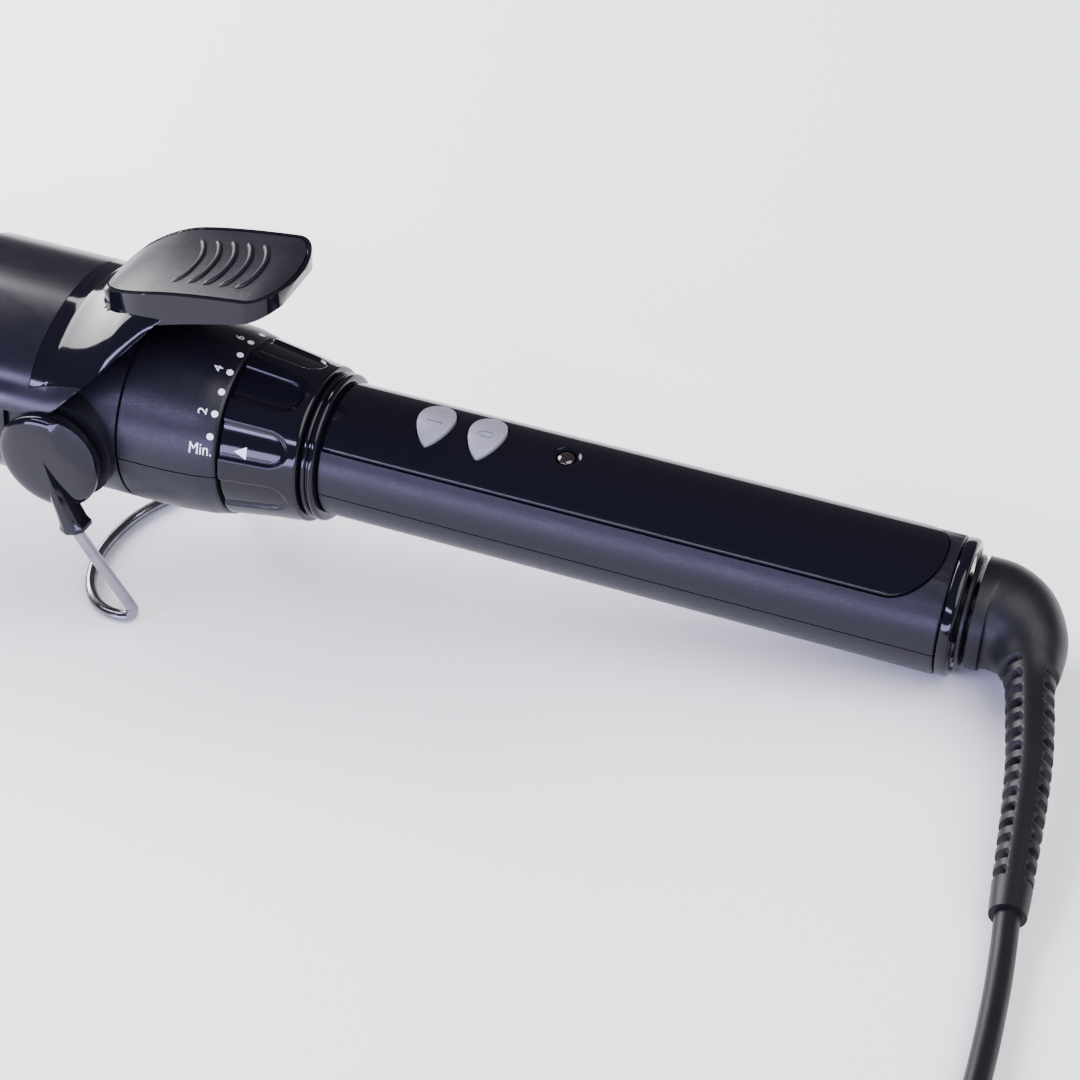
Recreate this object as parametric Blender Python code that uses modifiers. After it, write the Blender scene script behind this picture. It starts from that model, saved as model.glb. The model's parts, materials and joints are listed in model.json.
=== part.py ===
"""Curling iron: clamp barrel, folding wire stand, heat dial, two buttons and a swivel cord.

Every piece is drawn in the iron's own frame, in millimetres: X runs along the barrel and the handle
towards the cord, Z points to the clamp lever, and X = 0 is the front edge of the heat dial. The iron
rests on the foot of its stand and on the end of its handle, so that whole frame is tipped by PITCH.
The free cord lies on the table and is drawn in the table's frame.
"""
import math

import bmesh
import bpy
from mathutils import Matrix, Vector

# Driving dimensions, in millimetres and degrees -------------------------------------------------
GAP = 0.3                      # between pieces that touch
SEGMENTS = 36                  # sides of the large round pieces

BARREL_RADIUS = 19.0
BARREL_WALL = 0.8
BARREL_LENGTH = 154.0
TIP_LENGTH = 20.0
TIP_ROUND = 3.0
TIP_SPIGOT = 8.0
HEATER_LENGTH = 70.0
HEATER_WALL = 1.8
HEATER_PLATE = (60.0, 22.0, 2.6)

COLLAR_FRONT = -41.0           # the fixed collar carries the hinge
COLLAR_REAR = -19.5
COLLAR_INSET = 1.0             # how far the collar lies below the barrel's surface
SHELL_WALL = 1.8
HOUSING_TAPER = 1.5            # the housing narrows by this much towards the dial
HOUSING_REAR = -0.5

HINGE_X = -30.0                # cross axis of the clamp and of the stand
HINGE_PIN_RADIUS = 2.3
HINGE_PIN_FLANGE = 1.7         # how far the pin's flange stands out round it
BOSS_RADIUS = 10.3
BOSS_HEIGHT = 1.4              # above the collar

NECK_INSET = 1.0               # the handle's neck, which carries the dial, is this much slimmer
NECK_FRONT = -6.0
DIAL_LENGTH = 14.1
DIAL_FRONT_INSET = 0.1         # below the housing's rear edge
DIAL_REAR_STEP = 0.8           # above the trim ring
DIAL_WALL = 1.4
DIAL_GRIPS = 9
DIAL_GRIP_ANGLE = 24.0
DIAL_GRIP_START = 23.0
DIAL_GRIP_DEPTH = 0.6

RING_LENGTH = 2.6              # trim ring between dial and handle
RING_STEP = 1.5                # above the handle
HANDLE_RADIUS = 12.0
HANDLE_END = 128.6
HANDLE_ROLL = 7.0              # the top of the handle faces a little to one side
END_CAP_LENGTH = 2.2
END_CAP_ROUND = 0.8
CAP_WEB = 3.3                  # the end cap's wall, between the swivel's disc and its flange

PANEL_WIDTH = 17.6
PANEL_THICKNESS = 0.85
PANEL_PROUD = 0.25
PANEL_END = 126.6
PANEL_CORNER = 8.0
BUTTON_X = (35.6, 45.2)
BUTTON_LENGTH = 6.8
BUTTON_WIDTH = 9.8
BUTTON_PROUD = 0.7
BUTTON_TRAVEL = 0.7
BUTTON_FOOT = 7.05             # height of the flange that keeps a button in
BUTTON_FLANGE = 0.9
BOARD_SIZE = (49.0, 13.0, 1.4)
BOARD_CENTRE = (51.5, 0.0, 2.3)
LEAD_DIAMETER = 1.4            # insulated leads inside
LAMP_X = 60.0
LAMP_RADIUS = 1.45
LAMP_TOP = 8.6
LENS_RADIUS = 0.9
SCREW_X = (22.5, 112.0)

SPOON_THICKNESS = 0.9
SPOON_REAR = -34.0
SPOON_FRONT_MARGIN = 10.0
SPOON_HALF_ANGLE = 55.0
LEVER_WALL = 1.6
LEVER_CLEARANCE = 1.6          # from the barrel to the inside of the lever's cheeks
LEVER_FRONT = -58.0
LEVER_EAR_RADIUS = 9.0
LEVER_HALF_WIDTH = 11.4
PAD_THICKNESS = 1.2
PAD_BORDER = 1.0

STAND_WIRE = 2.2
STAND_LEG = 38.2
STAND_LEAN = 18.5
STAND_FOOT_DEPTH = 17.7
STAND_FOOT_INSET = 4.2         # the legs lean in by this much at the foot
HEEL_ROUND = 3.0
HUB_RADIUS = 9.7
HUB_DOME = 2.3
HUB_SOCKET = 14.0              # how far down the leg the hub's socket reaches
SOCKET_WALL = 0.3

SWIVEL_NECK_RADIUS = 5.9
SWIVEL_DISC_RADIUS = 9.6
SWIVEL_DISC_LENGTH = 0.9
SWIVEL_PLAY = 0.4
SWIVEL_FLANGE_RADIUS = 8.4
CORD_DIAMETER = 4.0
COIL_CENTRE = (168.0, -150.0)  # on the table
COIL_RADIUS = 24.0
COIL_WIDTH = 12.4
COIL_HEIGHT = 16.2

# Values that follow from them -------------------------------------------------------------------
MM = 0.001
COLLAR_RADIUS = BARREL_RADIUS - COLLAR_INSET
HOUSING_REAR_RADIUS = COLLAR_RADIUS - HOUSING_TAPER
BOSS_REACH = COLLAR_RADIUS + BOSS_HEIGHT
RING_RADIUS = HANDLE_RADIUS + RING_STEP
NECK_RADIUS = HANDLE_RADIUS - NECK_INSET
DIAL_FRONT_RADIUS = HOUSING_REAR_RADIUS - DIAL_FRONT_INSET
DIAL_REAR_RADIUS = RING_RADIUS + DIAL_REAR_STEP
LEVER_SIDE = BARREL_RADIUS + LEVER_CLEARANCE + LEVER_WALL / 2   # to the middle of the wall
HUB_FACE = LEVER_SIDE + LEVER_WALL / 2 + GAP
BARREL_REAR = COLLAR_FRONT - GAP
BARREL_FRONT = BARREL_REAR - BARREL_LENGTH
TIP_REAR = BARREL_FRONT - GAP
TIP_END = TIP_REAR - TIP_LENGTH
BORE_RADIUS = BARREL_RADIUS - BARREL_WALL
NECK_CLEARANCE = NECK_RADIUS + GAP
RING_FRONT = DIAL_LENGTH + GAP
HANDLE_FRONT = RING_FRONT + RING_LENGTH + GAP
HANDLE_INNER = HANDLE_RADIUS - SHELL_WALL
NECK_INNER = NECK_RADIUS - SHELL_WALL
CAP_FRONT = HANDLE_END + GAP
CAP_END = CAP_FRONT + END_CAP_LENGTH
DISC_FRONT = CAP_END + SWIVEL_PLAY
DISC_END = DISC_FRONT + SWIVEL_DISC_LENGTH
SPOON_RADIUS = BARREL_RADIUS + 0.4
PANEL_OUTER = HANDLE_RADIUS + PANEL_PROUD
PANEL_INNER = PANEL_OUTER - PANEL_THICKNESS
PANEL_FRONT = HANDLE_FRONT + 0.5
PIN_BORE = HINGE_PIN_RADIUS + GAP
WIRE_RADIUS = STAND_WIRE / 2
STAND_WIRE_Y = HUB_FACE + SOCKET_WALL + GAP + WIRE_RADIUS
STAND_FOOT_HALF_WIDTH = STAND_WIRE_Y - STAND_FOOT_INSET
BOARD_TOP = BOARD_CENTRE[2] + BOARD_SIZE[2] / 2
CORD_RADIUS = CORD_DIAMETER / 2
LEAN = math.radians(STAND_LEAN)
HEEL = Vector((HINGE_X + STAND_LEG * math.sin(LEAN), 0, -STAND_LEG * math.cos(LEAN)))


def resting_pitch():
    """Tip of the frame when the heel of the stand and the end cap's rounded edge touch the table."""
    run = CAP_END - END_CAP_ROUND - HEEL.x
    rise = -(HANDLE_RADIUS - END_CAP_ROUND) - HEEL.z
    return math.atan2(rise, run) - math.asin((END_CAP_ROUND - WIRE_RADIUS) / math.hypot(run, rise))


PITCH = resting_pitch()
ALONG = Vector((math.cos(PITCH), 0, math.sin(PITCH)))      # the table's X, seen in the iron's frame
UP = Vector((-math.sin(PITCH), 0, math.cos(PITCH)))        # the table's Z, seen in the iron's frame


def iron_origin():
    """Place of the iron's frame over the middle of its own footprint, touching the table."""
    tip_edge = Vector((TIP_END + TIP_ROUND, 0, -(BARREL_RADIUS - TIP_ROUND)))
    low = tip_edge.dot(ALONG) - TIP_ROUND
    high = Vector((DISC_END, 0, SWIVEL_DISC_RADIUS)).dot(ALONG)
    return Vector((-(low + high) / 2, 0, WIRE_RADIUS - HEEL.dot(UP)))


# Materials: colour, roughness, metallic -----------------------------------------------------------
FINISHES = {
    "gloss_black": ((0.012, 0.011, 0.018), 0.12, 0.0),
    "satin_black": ((0.020, 0.019, 0.026), 0.45, 0.0),
    "soft_black": ((0.016, 0.016, 0.020), 0.55, 0.0),
    "spoon_black": ((0.030, 0.028, 0.038), 0.38, 0.3),
    "ceramic_black": ((0.035, 0.033, 0.045), 0.28, 0.2),
    "steel_wire": ((0.72, 0.72, 0.74), 0.18, 1.0),
    "spring_steel": ((0.45, 0.45, 0.46), 0.30, 1.0),
    "aluminium": ((0.62, 0.63, 0.64), 0.40, 1.0),
    "brass": ((0.72, 0.52, 0.22), 0.30, 1.0),
    "button_silver": ((0.50, 0.49, 0.53), 0.32, 0.8),
    "heat_resin": ((0.10, 0.09, 0.08), 0.60, 0.0),
    "heater_ceramic": ((0.80, 0.78, 0.72), 0.70, 0.0),
    "circuit_green": ((0.03, 0.16, 0.07), 0.45, 0.0),
    "lamp_red": ((0.45, 0.03, 0.02), 0.20, 0.0),
    "lamp_clear": ((0.10, 0.03, 0.03), 0.08, 0.0),
    "lead_red": ((0.45, 0.04, 0.03), 0.45, 0.0),
    "lead_white": ((0.70, 0.70, 0.68), 0.45, 0.0),
}


def material(name):
    found = bpy.data.materials.get(name)
    if found:
        return found
    colour, roughness, metallic = FINISHES[name]
    made = bpy.data.materials.new(name)
    made.use_nodes = True
    shader = made.node_tree.nodes["Principled BSDF"]
    shader.inputs["Base Color"].default_value = (*colour, 1.0)
    shader.inputs["Roughness"].default_value = roughness
    shader.inputs["Metallic"].default_value = metallic
    made.diffuse_color = (*colour, 1.0)
    return made


# Modelling helpers --------------------------------------------------------------------------------
TURN = {
    "X": Matrix.Rotation(math.radians(90), 4, "Y"),
    "+Y": Matrix.Rotation(math.radians(-90), 4, "X"),
    "-Y": Matrix.Rotation(math.radians(90), 4, "X"),
    "Z": Matrix.Identity(4),
}
PLANE = {
    "XY": Matrix.Identity(4),
    "XZ": Matrix.Rotation(math.radians(90), 4, "X"),
    "YZ": Matrix(((0, 0, 1, 0), (1, 0, 0, 0), (0, 1, 0, 0), (0, 0, 0, 1))),
}


def collection(name):
    found = bpy.data.collections.get(name)
    if found:
        return found
    made = bpy.data.collections.new(name)
    bpy.context.scene.collection.children.link(made)
    return made


def add_object(name, data, finish, parent, matrix=None):
    piece = bpy.data.objects.new(name, data)
    collection("curling_iron").objects.link(piece)
    piece.parent = parent
    if matrix is not None:
        piece.matrix_local = matrix
    data.materials.append(material(finish))
    return piece


def placed(turn, at=(0, 0, 0)):
    return Matrix.Translation(Vector(at) * MM) @ turn


def shade(mesh):
    mesh.shade_smooth()
    mesh.set_sharp_from_angle(angle=math.radians(35))


def turned(name, profile, finish, parent, along="X", at=(0, 0, 0), closed=False, steps=SEGMENTS):
    """A turned piece. The profile holds (distance along the axis, radius), down its outer side."""
    mesh = bpy.data.meshes.new(name)
    points = [(radius * MM, 0, distance * MM) for distance, radius in profile]
    edges = [(i, i + 1) for i in range(len(points) - 1)]
    if closed:
        edges.append((len(points) - 1, 0))
    mesh.from_pydata(points, edges, [])
    piece = add_object(name, mesh, finish, parent, placed(TURN[along], at))
    screw = piece.modifiers.new("turn", "SCREW")
    screw.axis = "Z"
    screw.steps = screw.render_steps = steps
    screw.use_merge_vertices = True
    screw.merge_threshold = 0.00001
    screw.use_smooth_shade = True
    return piece


def box(name, size, centre, finish, parent, turn=None):
    made = bmesh.new()
    bmesh.ops.create_cube(made, size=1.0, matrix=Matrix.Diagonal((*[s * MM for s in size], 1)))
    mesh = bpy.data.meshes.new(name)
    made.to_mesh(mesh)
    made.free()
    return add_object(name, mesh, finish, parent, placed(turn or Matrix.Identity(4), centre))


def cylinder(name, radius, low, high, finish, parent, along="X", at=(0, 0, 0), sides=24,
             tilt=Matrix.Identity(4)):
    """A round bar whose ends lie at low and high along its axis, measured from the point at."""
    made = bmesh.new()
    bmesh.ops.create_cone(made, cap_ends=True, segments=sides, radius1=radius * MM,
                          radius2=radius * MM, depth=(high - low) * MM,
                          matrix=Matrix.Translation((0, 0, (low + high) / 2 * MM)))
    mesh = bpy.data.meshes.new(name)
    made.to_mesh(mesh)
    made.free()
    shade(mesh)
    return add_object(name, mesh, finish, parent, placed(tilt @ TURN[along], at))


def as_mesh(curve_object):
    """Swap a curve object for its mesh, with the caps welded on."""
    bpy.context.view_layer.update()
    evaluated = curve_object.evaluated_get(bpy.context.evaluated_depsgraph_get())
    mesh = bpy.data.meshes.new_from_object(evaluated)
    made = bmesh.new()
    made.from_mesh(mesh)
    bmesh.ops.remove_doubles(made, verts=made.verts, dist=0.00001)
    bmesh.ops.recalc_face_normals(made, faces=made.faces)
    made.to_mesh(mesh)
    made.free()
    piece = bpy.data.objects.new("mesh", mesh)
    collection("curling_iron").objects.link(piece)
    piece.parent = curve_object.parent
    piece.matrix_local = curve_object.matrix_local.copy()
    name = curve_object.name
    bpy.data.objects.remove(curve_object)
    piece.name = name
    return piece


def prism(name, outline, low, high, finish, parent, plane="XY"):
    """A flat outline given a thickness, from low to high across its plane."""
    curve = bpy.data.curves.new(name, "CURVE")
    curve.dimensions = "2D"
    curve.fill_mode = "BOTH"
    curve.extrude = (high - low) / 2 * MM
    spline = curve.splines.new("POLY")
    spline.points.add(len(outline) - 1)
    for point, (u, v) in zip(spline.points, outline):
        point.co = (u * MM, v * MM, 0, 1)
    spline.use_cyclic_u = True
    matrix = PLANE[plane] @ Matrix.Translation((0, 0, (low + high) / 2 * MM))
    return as_mesh(add_object(name, curve, finish, parent, matrix))


def wire(name, points, diameter, finish, parent, resolution=2):
    """A round wire along points, as a curve with filled ends."""
    curve = bpy.data.curves.new(name, "CURVE")
    curve.dimensions = "3D"
    curve.bevel_depth = diameter / 2 * MM
    curve.bevel_resolution = resolution
    curve.use_fill_caps = True
    spline = curve.splines.new("POLY")
    spline.points.add(len(points) - 1)
    for point, place in zip(spline.points, points):
        point.co = (*(Vector(place) * MM), 1)
    return add_object(name, curve, finish, parent)


def loft(name, rings, finish, parent):
    """A closed body through rings of equally many points, with flat ends."""
    made = bmesh.new()
    for body in rings:
        loops = [[made.verts.new(Vector(p) * MM) for p in ring] for ring in body]
        count = len(loops[0])
        for near, far in zip(loops, loops[1:]):
            for i in range(count):
                j = (i + 1) % count
                made.faces.new((near[i], near[j], far[j], far[i]))
        made.faces.new(loops[0])
        made.faces.new(list(reversed(loops[-1])))
    bmesh.ops.recalc_face_normals(made, faces=made.faces)
    mesh = bpy.data.meshes.new(name)
    made.to_mesh(mesh)
    made.free()
    shade(mesh)
    return add_object(name, mesh, finish, parent)


def cut(piece, cutter, operation="DIFFERENCE"):
    """Cut, trim or join with another object, which then only serves as a guide."""
    change = piece.modifiers.new(cutter.name, "BOOLEAN")
    change.operation = operation
    change.solver = "EXACT"
    change.object = cutter
    cutter.hide_render = True
    cutter.display_type = "WIRE"
    guides = collection("cutters")
    if cutter.name not in guides.objects:
        collection("curling_iron").objects.unlink(cutter)
        guides.objects.link(cutter)
    return piece


def empty(name, parent, at=(0, 0, 0), rotation=(0, 0, 0)):
    frame = bpy.data.objects.new(name, None)
    collection("curling_iron").objects.link(frame)
    frame.parent = parent
    frame.location = Vector(at) * MM
    frame.rotation_euler = rotation
    return frame


def smooth_route(points, spacing):
    """Points at an even spacing on one smooth curve through the given points."""
    places = [Vector(p) for p in points]
    ends = [places[0] * 2 - places[1]] + places + [places[-1] * 2 - places[-2]]
    fine = []
    for a, b, c, d in zip(ends, ends[1:], ends[2:], ends[3:]):
        for step in range(20):
            t = step / 20
            fine.append(0.5 * (2 * b + (c - a) * t + (2 * a - 5 * b + 4 * c - d) * t * t
                               + (3 * b - a - 3 * c + d) * t * t * t))
    fine.append(places[-1])
    total = sum((b - a).length for a, b in zip(fine, fine[1:]))
    count = max(2, round(total / spacing))
    route, walked, target = [fine[0]], 0.0, total / count
    for a, b in zip(fine, fine[1:]):
        step = (b - a).length
        while step > 0 and walked + step >= target and len(route) < count:
            route.append(a.lerp(b, (target - walked) / step))
            target += total / count
        walked += step
    route.append(fine[-1])
    return route


def arc(centre, radius, start, end, count):
    """Points on a circle from one angle to another, in degrees."""
    angles = [math.radians(start + (end - start) * i / (count - 1)) for i in range(count)]
    return [(centre[0] + radius * math.cos(a), centre[1] + radius * math.sin(a)) for a in angles]


# Barrel and heater --------------------------------------------------------------------------------
def make_barrel(iron):
    turned("barrel_tube", [(BARREL_REAR, BARREL_RADIUS), (BARREL_FRONT, BARREL_RADIUS),
                           (BARREL_FRONT, BORE_RADIUS), (BARREL_REAR, BORE_RADIUS)],
           "ceramic_black", iron, closed=True)
    spigot = BORE_RADIUS - GAP
    inner = spigot - SHELL_WALL
    edge = arc((TIP_END + TIP_ROUND, BARREL_RADIUS - TIP_ROUND), TIP_ROUND, 90, 180, 3)
    turned("tip_cap", [(TIP_END + SHELL_WALL, 0), (TIP_END + SHELL_WALL, inner - TIP_ROUND),
                       (TIP_END + SHELL_WALL + TIP_ROUND, inner), (TIP_REAR + TIP_SPIGOT, inner),
                       (TIP_REAR + TIP_SPIGOT, spigot), (TIP_REAR, spigot),
                       (TIP_REAR, BARREL_RADIUS), *edge, (TIP_END, 0)], "satin_black", iron)
    step = COLLAR_FRONT - 2 * GAP
    rear = COLLAR_FRONT + 4.7
    plug = COLLAR_RADIUS - SHELL_WALL - GAP
    insert, bore = 14, 6
    turned("barrel_mount", [(rear, plug), (step, plug), (step, spigot), (step - insert, spigot),
                            (step - insert, bore), (rear, bore)], "heat_resin", iron, closed=True)


def half_round(radius, face, count):
    """Outline of a half round bar whose flat face lies at a height above the middle."""
    start = math.degrees(math.asin(face / radius))
    return arc((0, 0), radius, start, 180 - start, count)


def make_heater(iron):
    """Two hollow half rounds that press the flat heater plate between them."""
    rear = BARREL_REAR - 24
    front = rear - HEATER_LENGTH
    length, width, plate = HEATER_PLATE
    face = plate / 2 + GAP
    radius = BORE_RADIUS - 0.5
    for name, side in (("heater_block_upper", 1), ("heater_block_lower", -1)):
        outer = [(y, side * z) for y, z in half_round(radius, face, 13)]
        inner = [(y, side * z) for y, z in half_round(radius - HEATER_WALL, face + HEATER_WALL, 13)]
        block = prism(name, outer, front, rear, "aluminium", iron, "YZ")
        cut(block, prism(name + "_hollow", inner, front - 1, rear + 1, "aluminium", iron, "YZ"))
    middle = (front + rear) / 2
    plate_end = middle + length / 2
    box("heater_plate", (length, width, plate), (middle, 0, 0), "heater_ceramic", iron)
    cylinder("thermal_fuse", 1.8, -26, -12, "brass", iron, at=(0, 0, -6), sides=12)
    for name, side, finish in (("heater_lead_red", 1, "lead_red"), ("heater_lead_white", -1, "lead_white")):
        y = 3.5 * side
        aside = 6.2 * side
        wire(name, [(plate_end + 0.5, y, 0), (rear + 14, y, 0), (HINGE_X, y, 1), (-8, y, 1.5),
                    (14, aside, 1.5), (26.4, aside, 1.8)], LEAD_DIAMETER, finish, iron, resolution=1)


# Hinge collar and control housing -----------------------------------------------------------------
def make_collar(iron):
    inner = COLLAR_RADIUS - SHELL_WALL
    collar = turned("hinge_collar", [(COLLAR_REAR, COLLAR_RADIUS), (COLLAR_FRONT, COLLAR_RADIUS),
                                     (COLLAR_FRONT, inner - 1), (COLLAR_REAR, inner - 1)],
                    "satin_black", iron, closed=True)
    for name, along in (("near", "-Y"), ("far", "+Y")):
        cut(collar, cylinder("boss_" + name, BOSS_RADIUS, inner - 4, BOSS_REACH, "satin_black", iron,
                             along, (HINGE_X, 0, 0), 32), "UNION")
    cut(collar, cylinder("collar_bore", inner, COLLAR_FRONT - 5, COLLAR_REAR + 5, "satin_black", iron,
                         sides=SEGMENTS))
    for name, along in (("near", "-Y"), ("far", "+Y")):
        at = (HINGE_X, 0, 0)
        cut(collar, cylinder("pin_bore_" + name, PIN_BORE, 10, BOSS_REACH + 5, "satin_black", iron, along,
                             at, 20))
        flange = inner - 0.6 - GAP
        wide = HINGE_PIN_RADIUS + HINGE_PIN_FLANGE
        tip = HUB_FACE + 1.1
        turned("hinge_pin_" + name, [(tip, 0), (tip, HINGE_PIN_RADIUS), (flange, HINGE_PIN_RADIUS),
                                     (flange, wide), (flange - 1, wide), (flange - 1, HINGE_PIN_RADIUS),
                                     (7, HINGE_PIN_RADIUS), (7, 0)],
               "spring_steel", iron, along, at, steps=20)
    turns, sides, spring_wire, pitch, first = 3, 8, 0.8, 1.3, -8.6
    coil = HINGE_PIN_RADIUS + 1.4
    points = [(HINGE_X + coil * math.cos(a), first - pitch * a / (2 * math.pi), coil * math.sin(a))
              for a in (2 * math.pi * i / sides for i in range(turns * sides + 1))]
    wire("clamp_spring", points, spring_wire, "spring_steel", iron, resolution=1)


def half_box(name, side, parent, low, high):
    """A block that holds everything on one side of the parting plane."""
    reach = 30.0
    return box(name, (high - low, 2 * reach, reach), ((low + high) / 2, 0, side * (reach + GAP) / 2),
               "satin_black", parent)


def make_housing(iron):
    front = COLLAR_REAR + GAP
    lip = HOUSING_REAR - 2.5
    waist = COLLAR_RADIUS - 0.2
    outer = [(HOUSING_REAR, HOUSING_REAR_RADIUS), (-4, COLLAR_RADIUS - 0.7), (-9, waist),
             (-14, COLLAR_RADIUS), (front, COLLAR_RADIUS)]
    inner = [(front, COLLAR_RADIUS - SHELL_WALL), (-9, waist - SHELL_WALL),
             (lip, HOUSING_REAR_RADIUS - 1.3), (lip, NECK_CLEARANCE), (HOUSING_REAR, NECK_CLEARANCE)]
    for name, side in (("control_housing_upper", 1), ("control_housing_lower", -1)):
        shell = turned(name, outer + inner, "satin_black", iron, closed=True)
        cut(shell, half_box(name + "_half", side, iron, front - 5, 5), "INTERSECT")


# Handle -------------------------------------------------------------------------------------------
def panel_outline(grow):
    """The inlay seen from above: straight front, round rear corners."""
    half = PANEL_WIDTH / 2 + grow
    corner = PANEL_CORNER + grow
    rear = PANEL_END + grow
    right = arc((rear - corner, half - corner), corner, 90, 0, 7)
    left = arc((rear - corner, corner - half), corner, 0, -90, 7)
    return [(PANEL_FRONT - grow, half), *right, *left, (PANEL_FRONT - grow, -half)]


def teardrop(x, grow):
    """A button seen from above, with its point towards -Y."""
    wide, tall = BUTTON_LENGTH / 2 + grow, BUTTON_WIDTH / 2 + grow
    points = []
    for i in range(18):
        t = 2 * math.pi * i / 18
        points.append((x + 1.1 * wide * math.sin(t) * math.sin(t / 2) ** 0.7, -tall * math.cos(t)))
    return points


def make_panel(handle):
    panel = turned("gloss_panel", [(PANEL_END + 3, PANEL_OUTER), (PANEL_FRONT - 3, PANEL_OUTER),
                                   (PANEL_FRONT - 3, PANEL_INNER), (PANEL_END + 3, PANEL_INNER)],
                   "gloss_black", handle, closed=True, steps=48)
    cut(panel, prism("panel_shape", panel_outline(0), 3, 16, "gloss_black", handle), "INTERSECT")
    cut(panel, cylinder("lamp_ring", 2.3, PANEL_OUTER - 0.6, PANEL_OUTER + 0.25, "gloss_black", handle,
                        "Z", (LAMP_X, 0, 0)), "UNION")
    return panel


def make_shells(handle):
    outer = [(HANDLE_END, HANDLE_RADIUS), (HANDLE_FRONT, HANDLE_RADIUS), (HANDLE_FRONT, NECK_RADIUS),
             (NECK_FRONT, NECK_RADIUS)]
    inner = [(NECK_FRONT, NECK_INNER), (HANDLE_FRONT + 1, NECK_INNER), (HANDLE_FRONT + 3, HANDLE_INNER),
             (HANDLE_END, HANDLE_INNER)]
    shells = {}
    for name, side in (("handle_upper_shell", 1), ("handle_lower_shell", -1)):
        shell = turned(name, outer + inner, "satin_black", handle, closed=True)
        cut(shell, half_box(name + "_half", side, handle, NECK_FRONT - 5, HANDLE_END + 5), "INTERSECT")
        shells[side] = shell
    high, low = HANDLE_RADIUS + 3, PANEL_INNER - GAP
    front, rear = PANEL_FRONT - 5, PANEL_END + 5
    recess = turned("panel_recess", [(rear, high), (front, high), (front, low), (rear, low)],
                    "satin_black", handle, closed=True, steps=48)
    cut(recess, prism("recess_shape", panel_outline(GAP), 3, 18, "satin_black", handle), "INTERSECT")
    cut(shells[1], recess)
    outside = -HANDLE_RADIUS - 2
    for x, place in zip(SCREW_X, ("front", "rear")):
        top = cylinder("upper_boss_" + place, 3.0, GAP / 2, HANDLE_INNER + 0.4, "satin_black", handle,
                       "Z", (x, 0, 0))
        bottom = cylinder("lower_boss_" + place, 3.5, -HANDLE_INNER - 0.6, -GAP / 2, "satin_black",
                          handle, "Z", (x, 0, 0))
        cut(shells[1], top, "UNION")
        cut(shells[-1], bottom, "UNION")
        cut(shells[1], cylinder("screw_thread_" + place, 1.3, -1, 7.2, "satin_black", handle, "Z",
                                (x, 0, 0), 16))
        cut(shells[-1], cylinder("screw_hole_" + place, 1.7, outside, 1, "satin_black", handle, "Z",
                                 (x, 0, 0), 16))
        cut(shells[-1], cylinder("screw_well_" + place, 2.7, outside, -7.5, "satin_black", handle, "Z",
                                 (x, 0, 0), 20))
        turned("shell_screw_" + place, [(6.8, 0), (6.8, 1.0), (-7.8, 1.0), (-7.8, 2.4), (-9.6, 2.4),
                                        (-9.6, 0)], "spring_steel", handle, "Z", (x, 0, 0), steps=16)
    return shells[1]


def make_buttons(handle, panel, upper):
    above = HANDLE_RADIUS + 4
    crown = HANDLE_RADIUS + BUTTON_PROUD
    flange = (BUTTON_LENGTH + 1.6, BUTTON_WIDTH + 1.8, BUTTON_FLANGE)
    flange_z = BUTTON_FOOT + BUTTON_FLANGE / 2
    switch_top = BUTTON_FOOT - BUTTON_TRAVEL - 0.35
    for name, x in zip(("on", "off"), BUTTON_X):
        hole = prism("button_hole_" + name, teardrop(x, GAP), 6, above, "satin_black", handle)
        cut(panel, hole)
        cut(upper, hole)
        button = turned("button_" + name, [(x + 6, crown), (x - 6, crown), (x - 6, 0.01), (x + 6, 0.01)],
                        "button_silver", handle, closed=True, steps=48)
        cut(button, prism("button_shape_" + name, teardrop(x, 0), flange_z - 0.1, above, "button_silver",
                          handle), "INTERSECT")
        cut(button, box("button_flange_" + name, flange, (x, 0, flange_z), "button_silver", handle), "UNION")
        body_top, body_low = switch_top - 0.8, BOARD_TOP + GAP
        turned("switch_" + name, [(switch_top, 0), (switch_top, 1.6), (body_top, 1.6), (body_top, 3.0),
                                  (body_low, 3.0), (body_low, 0)],
               "soft_black", handle, "Z", (x, 0, 0), steps=16)


def make_electronics(handle, panel, upper):
    box("circuit_board", BOARD_SIZE, BOARD_CENTRE, "circuit_green", handle)
    foot = BOARD_TOP + GAP
    turned("indicator_lamp", [(LAMP_TOP, 0), (LAMP_TOP - 0.4, 1.0), (LAMP_TOP - 1.2, LAMP_RADIUS),
                              (foot, LAMP_RADIUS), (foot, 0)],
           "lamp_red", handle, "Z", (LAMP_X, 0, 0), steps=16)
    hole = cylinder("lamp_hole", LENS_RADIUS + GAP, 5, HANDLE_RADIUS + 4, "satin_black", handle, "Z",
                    (LAMP_X, 0, 0), 20)
    cut(panel, hole)
    cut(upper, hole)
    top = PANEL_OUTER + 0.15
    low = LAMP_TOP + GAP
    turned("indicator_lens", [(top, 0), (top - 0.25, 0.6), (top - 0.6, LENS_RADIUS), (low, LENS_RADIUS),
                              (low, 0)], "lamp_clear", handle, "Z", (LAMP_X, 0, 0), steps=16)
    block_rear = CAP_FRONT - 6.7
    block_front = block_rear - 3.7
    block = HANDLE_INNER - 1.8
    block_bore = 2.4
    turned("contact_block", [(block_rear, block), (block_front, block), (block_front, block_bore),
                             (block_rear, block_bore)], "heat_resin", handle, closed=True, steps=24)
    for name, side, finish in (("mains_lead_brown", 1, "lead_red"), ("mains_lead_blue", -1, "lead_white")):
        y = 4.8 * side
        wire(name, [(76.3, y, 2.3), (84, y, 1.0), (100, y, -0.5), (112, 5.2 * side, 0),
                    (block_front - GAP, y, 0)], LEAD_DIAMETER, finish, handle, resolution=1)


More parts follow.
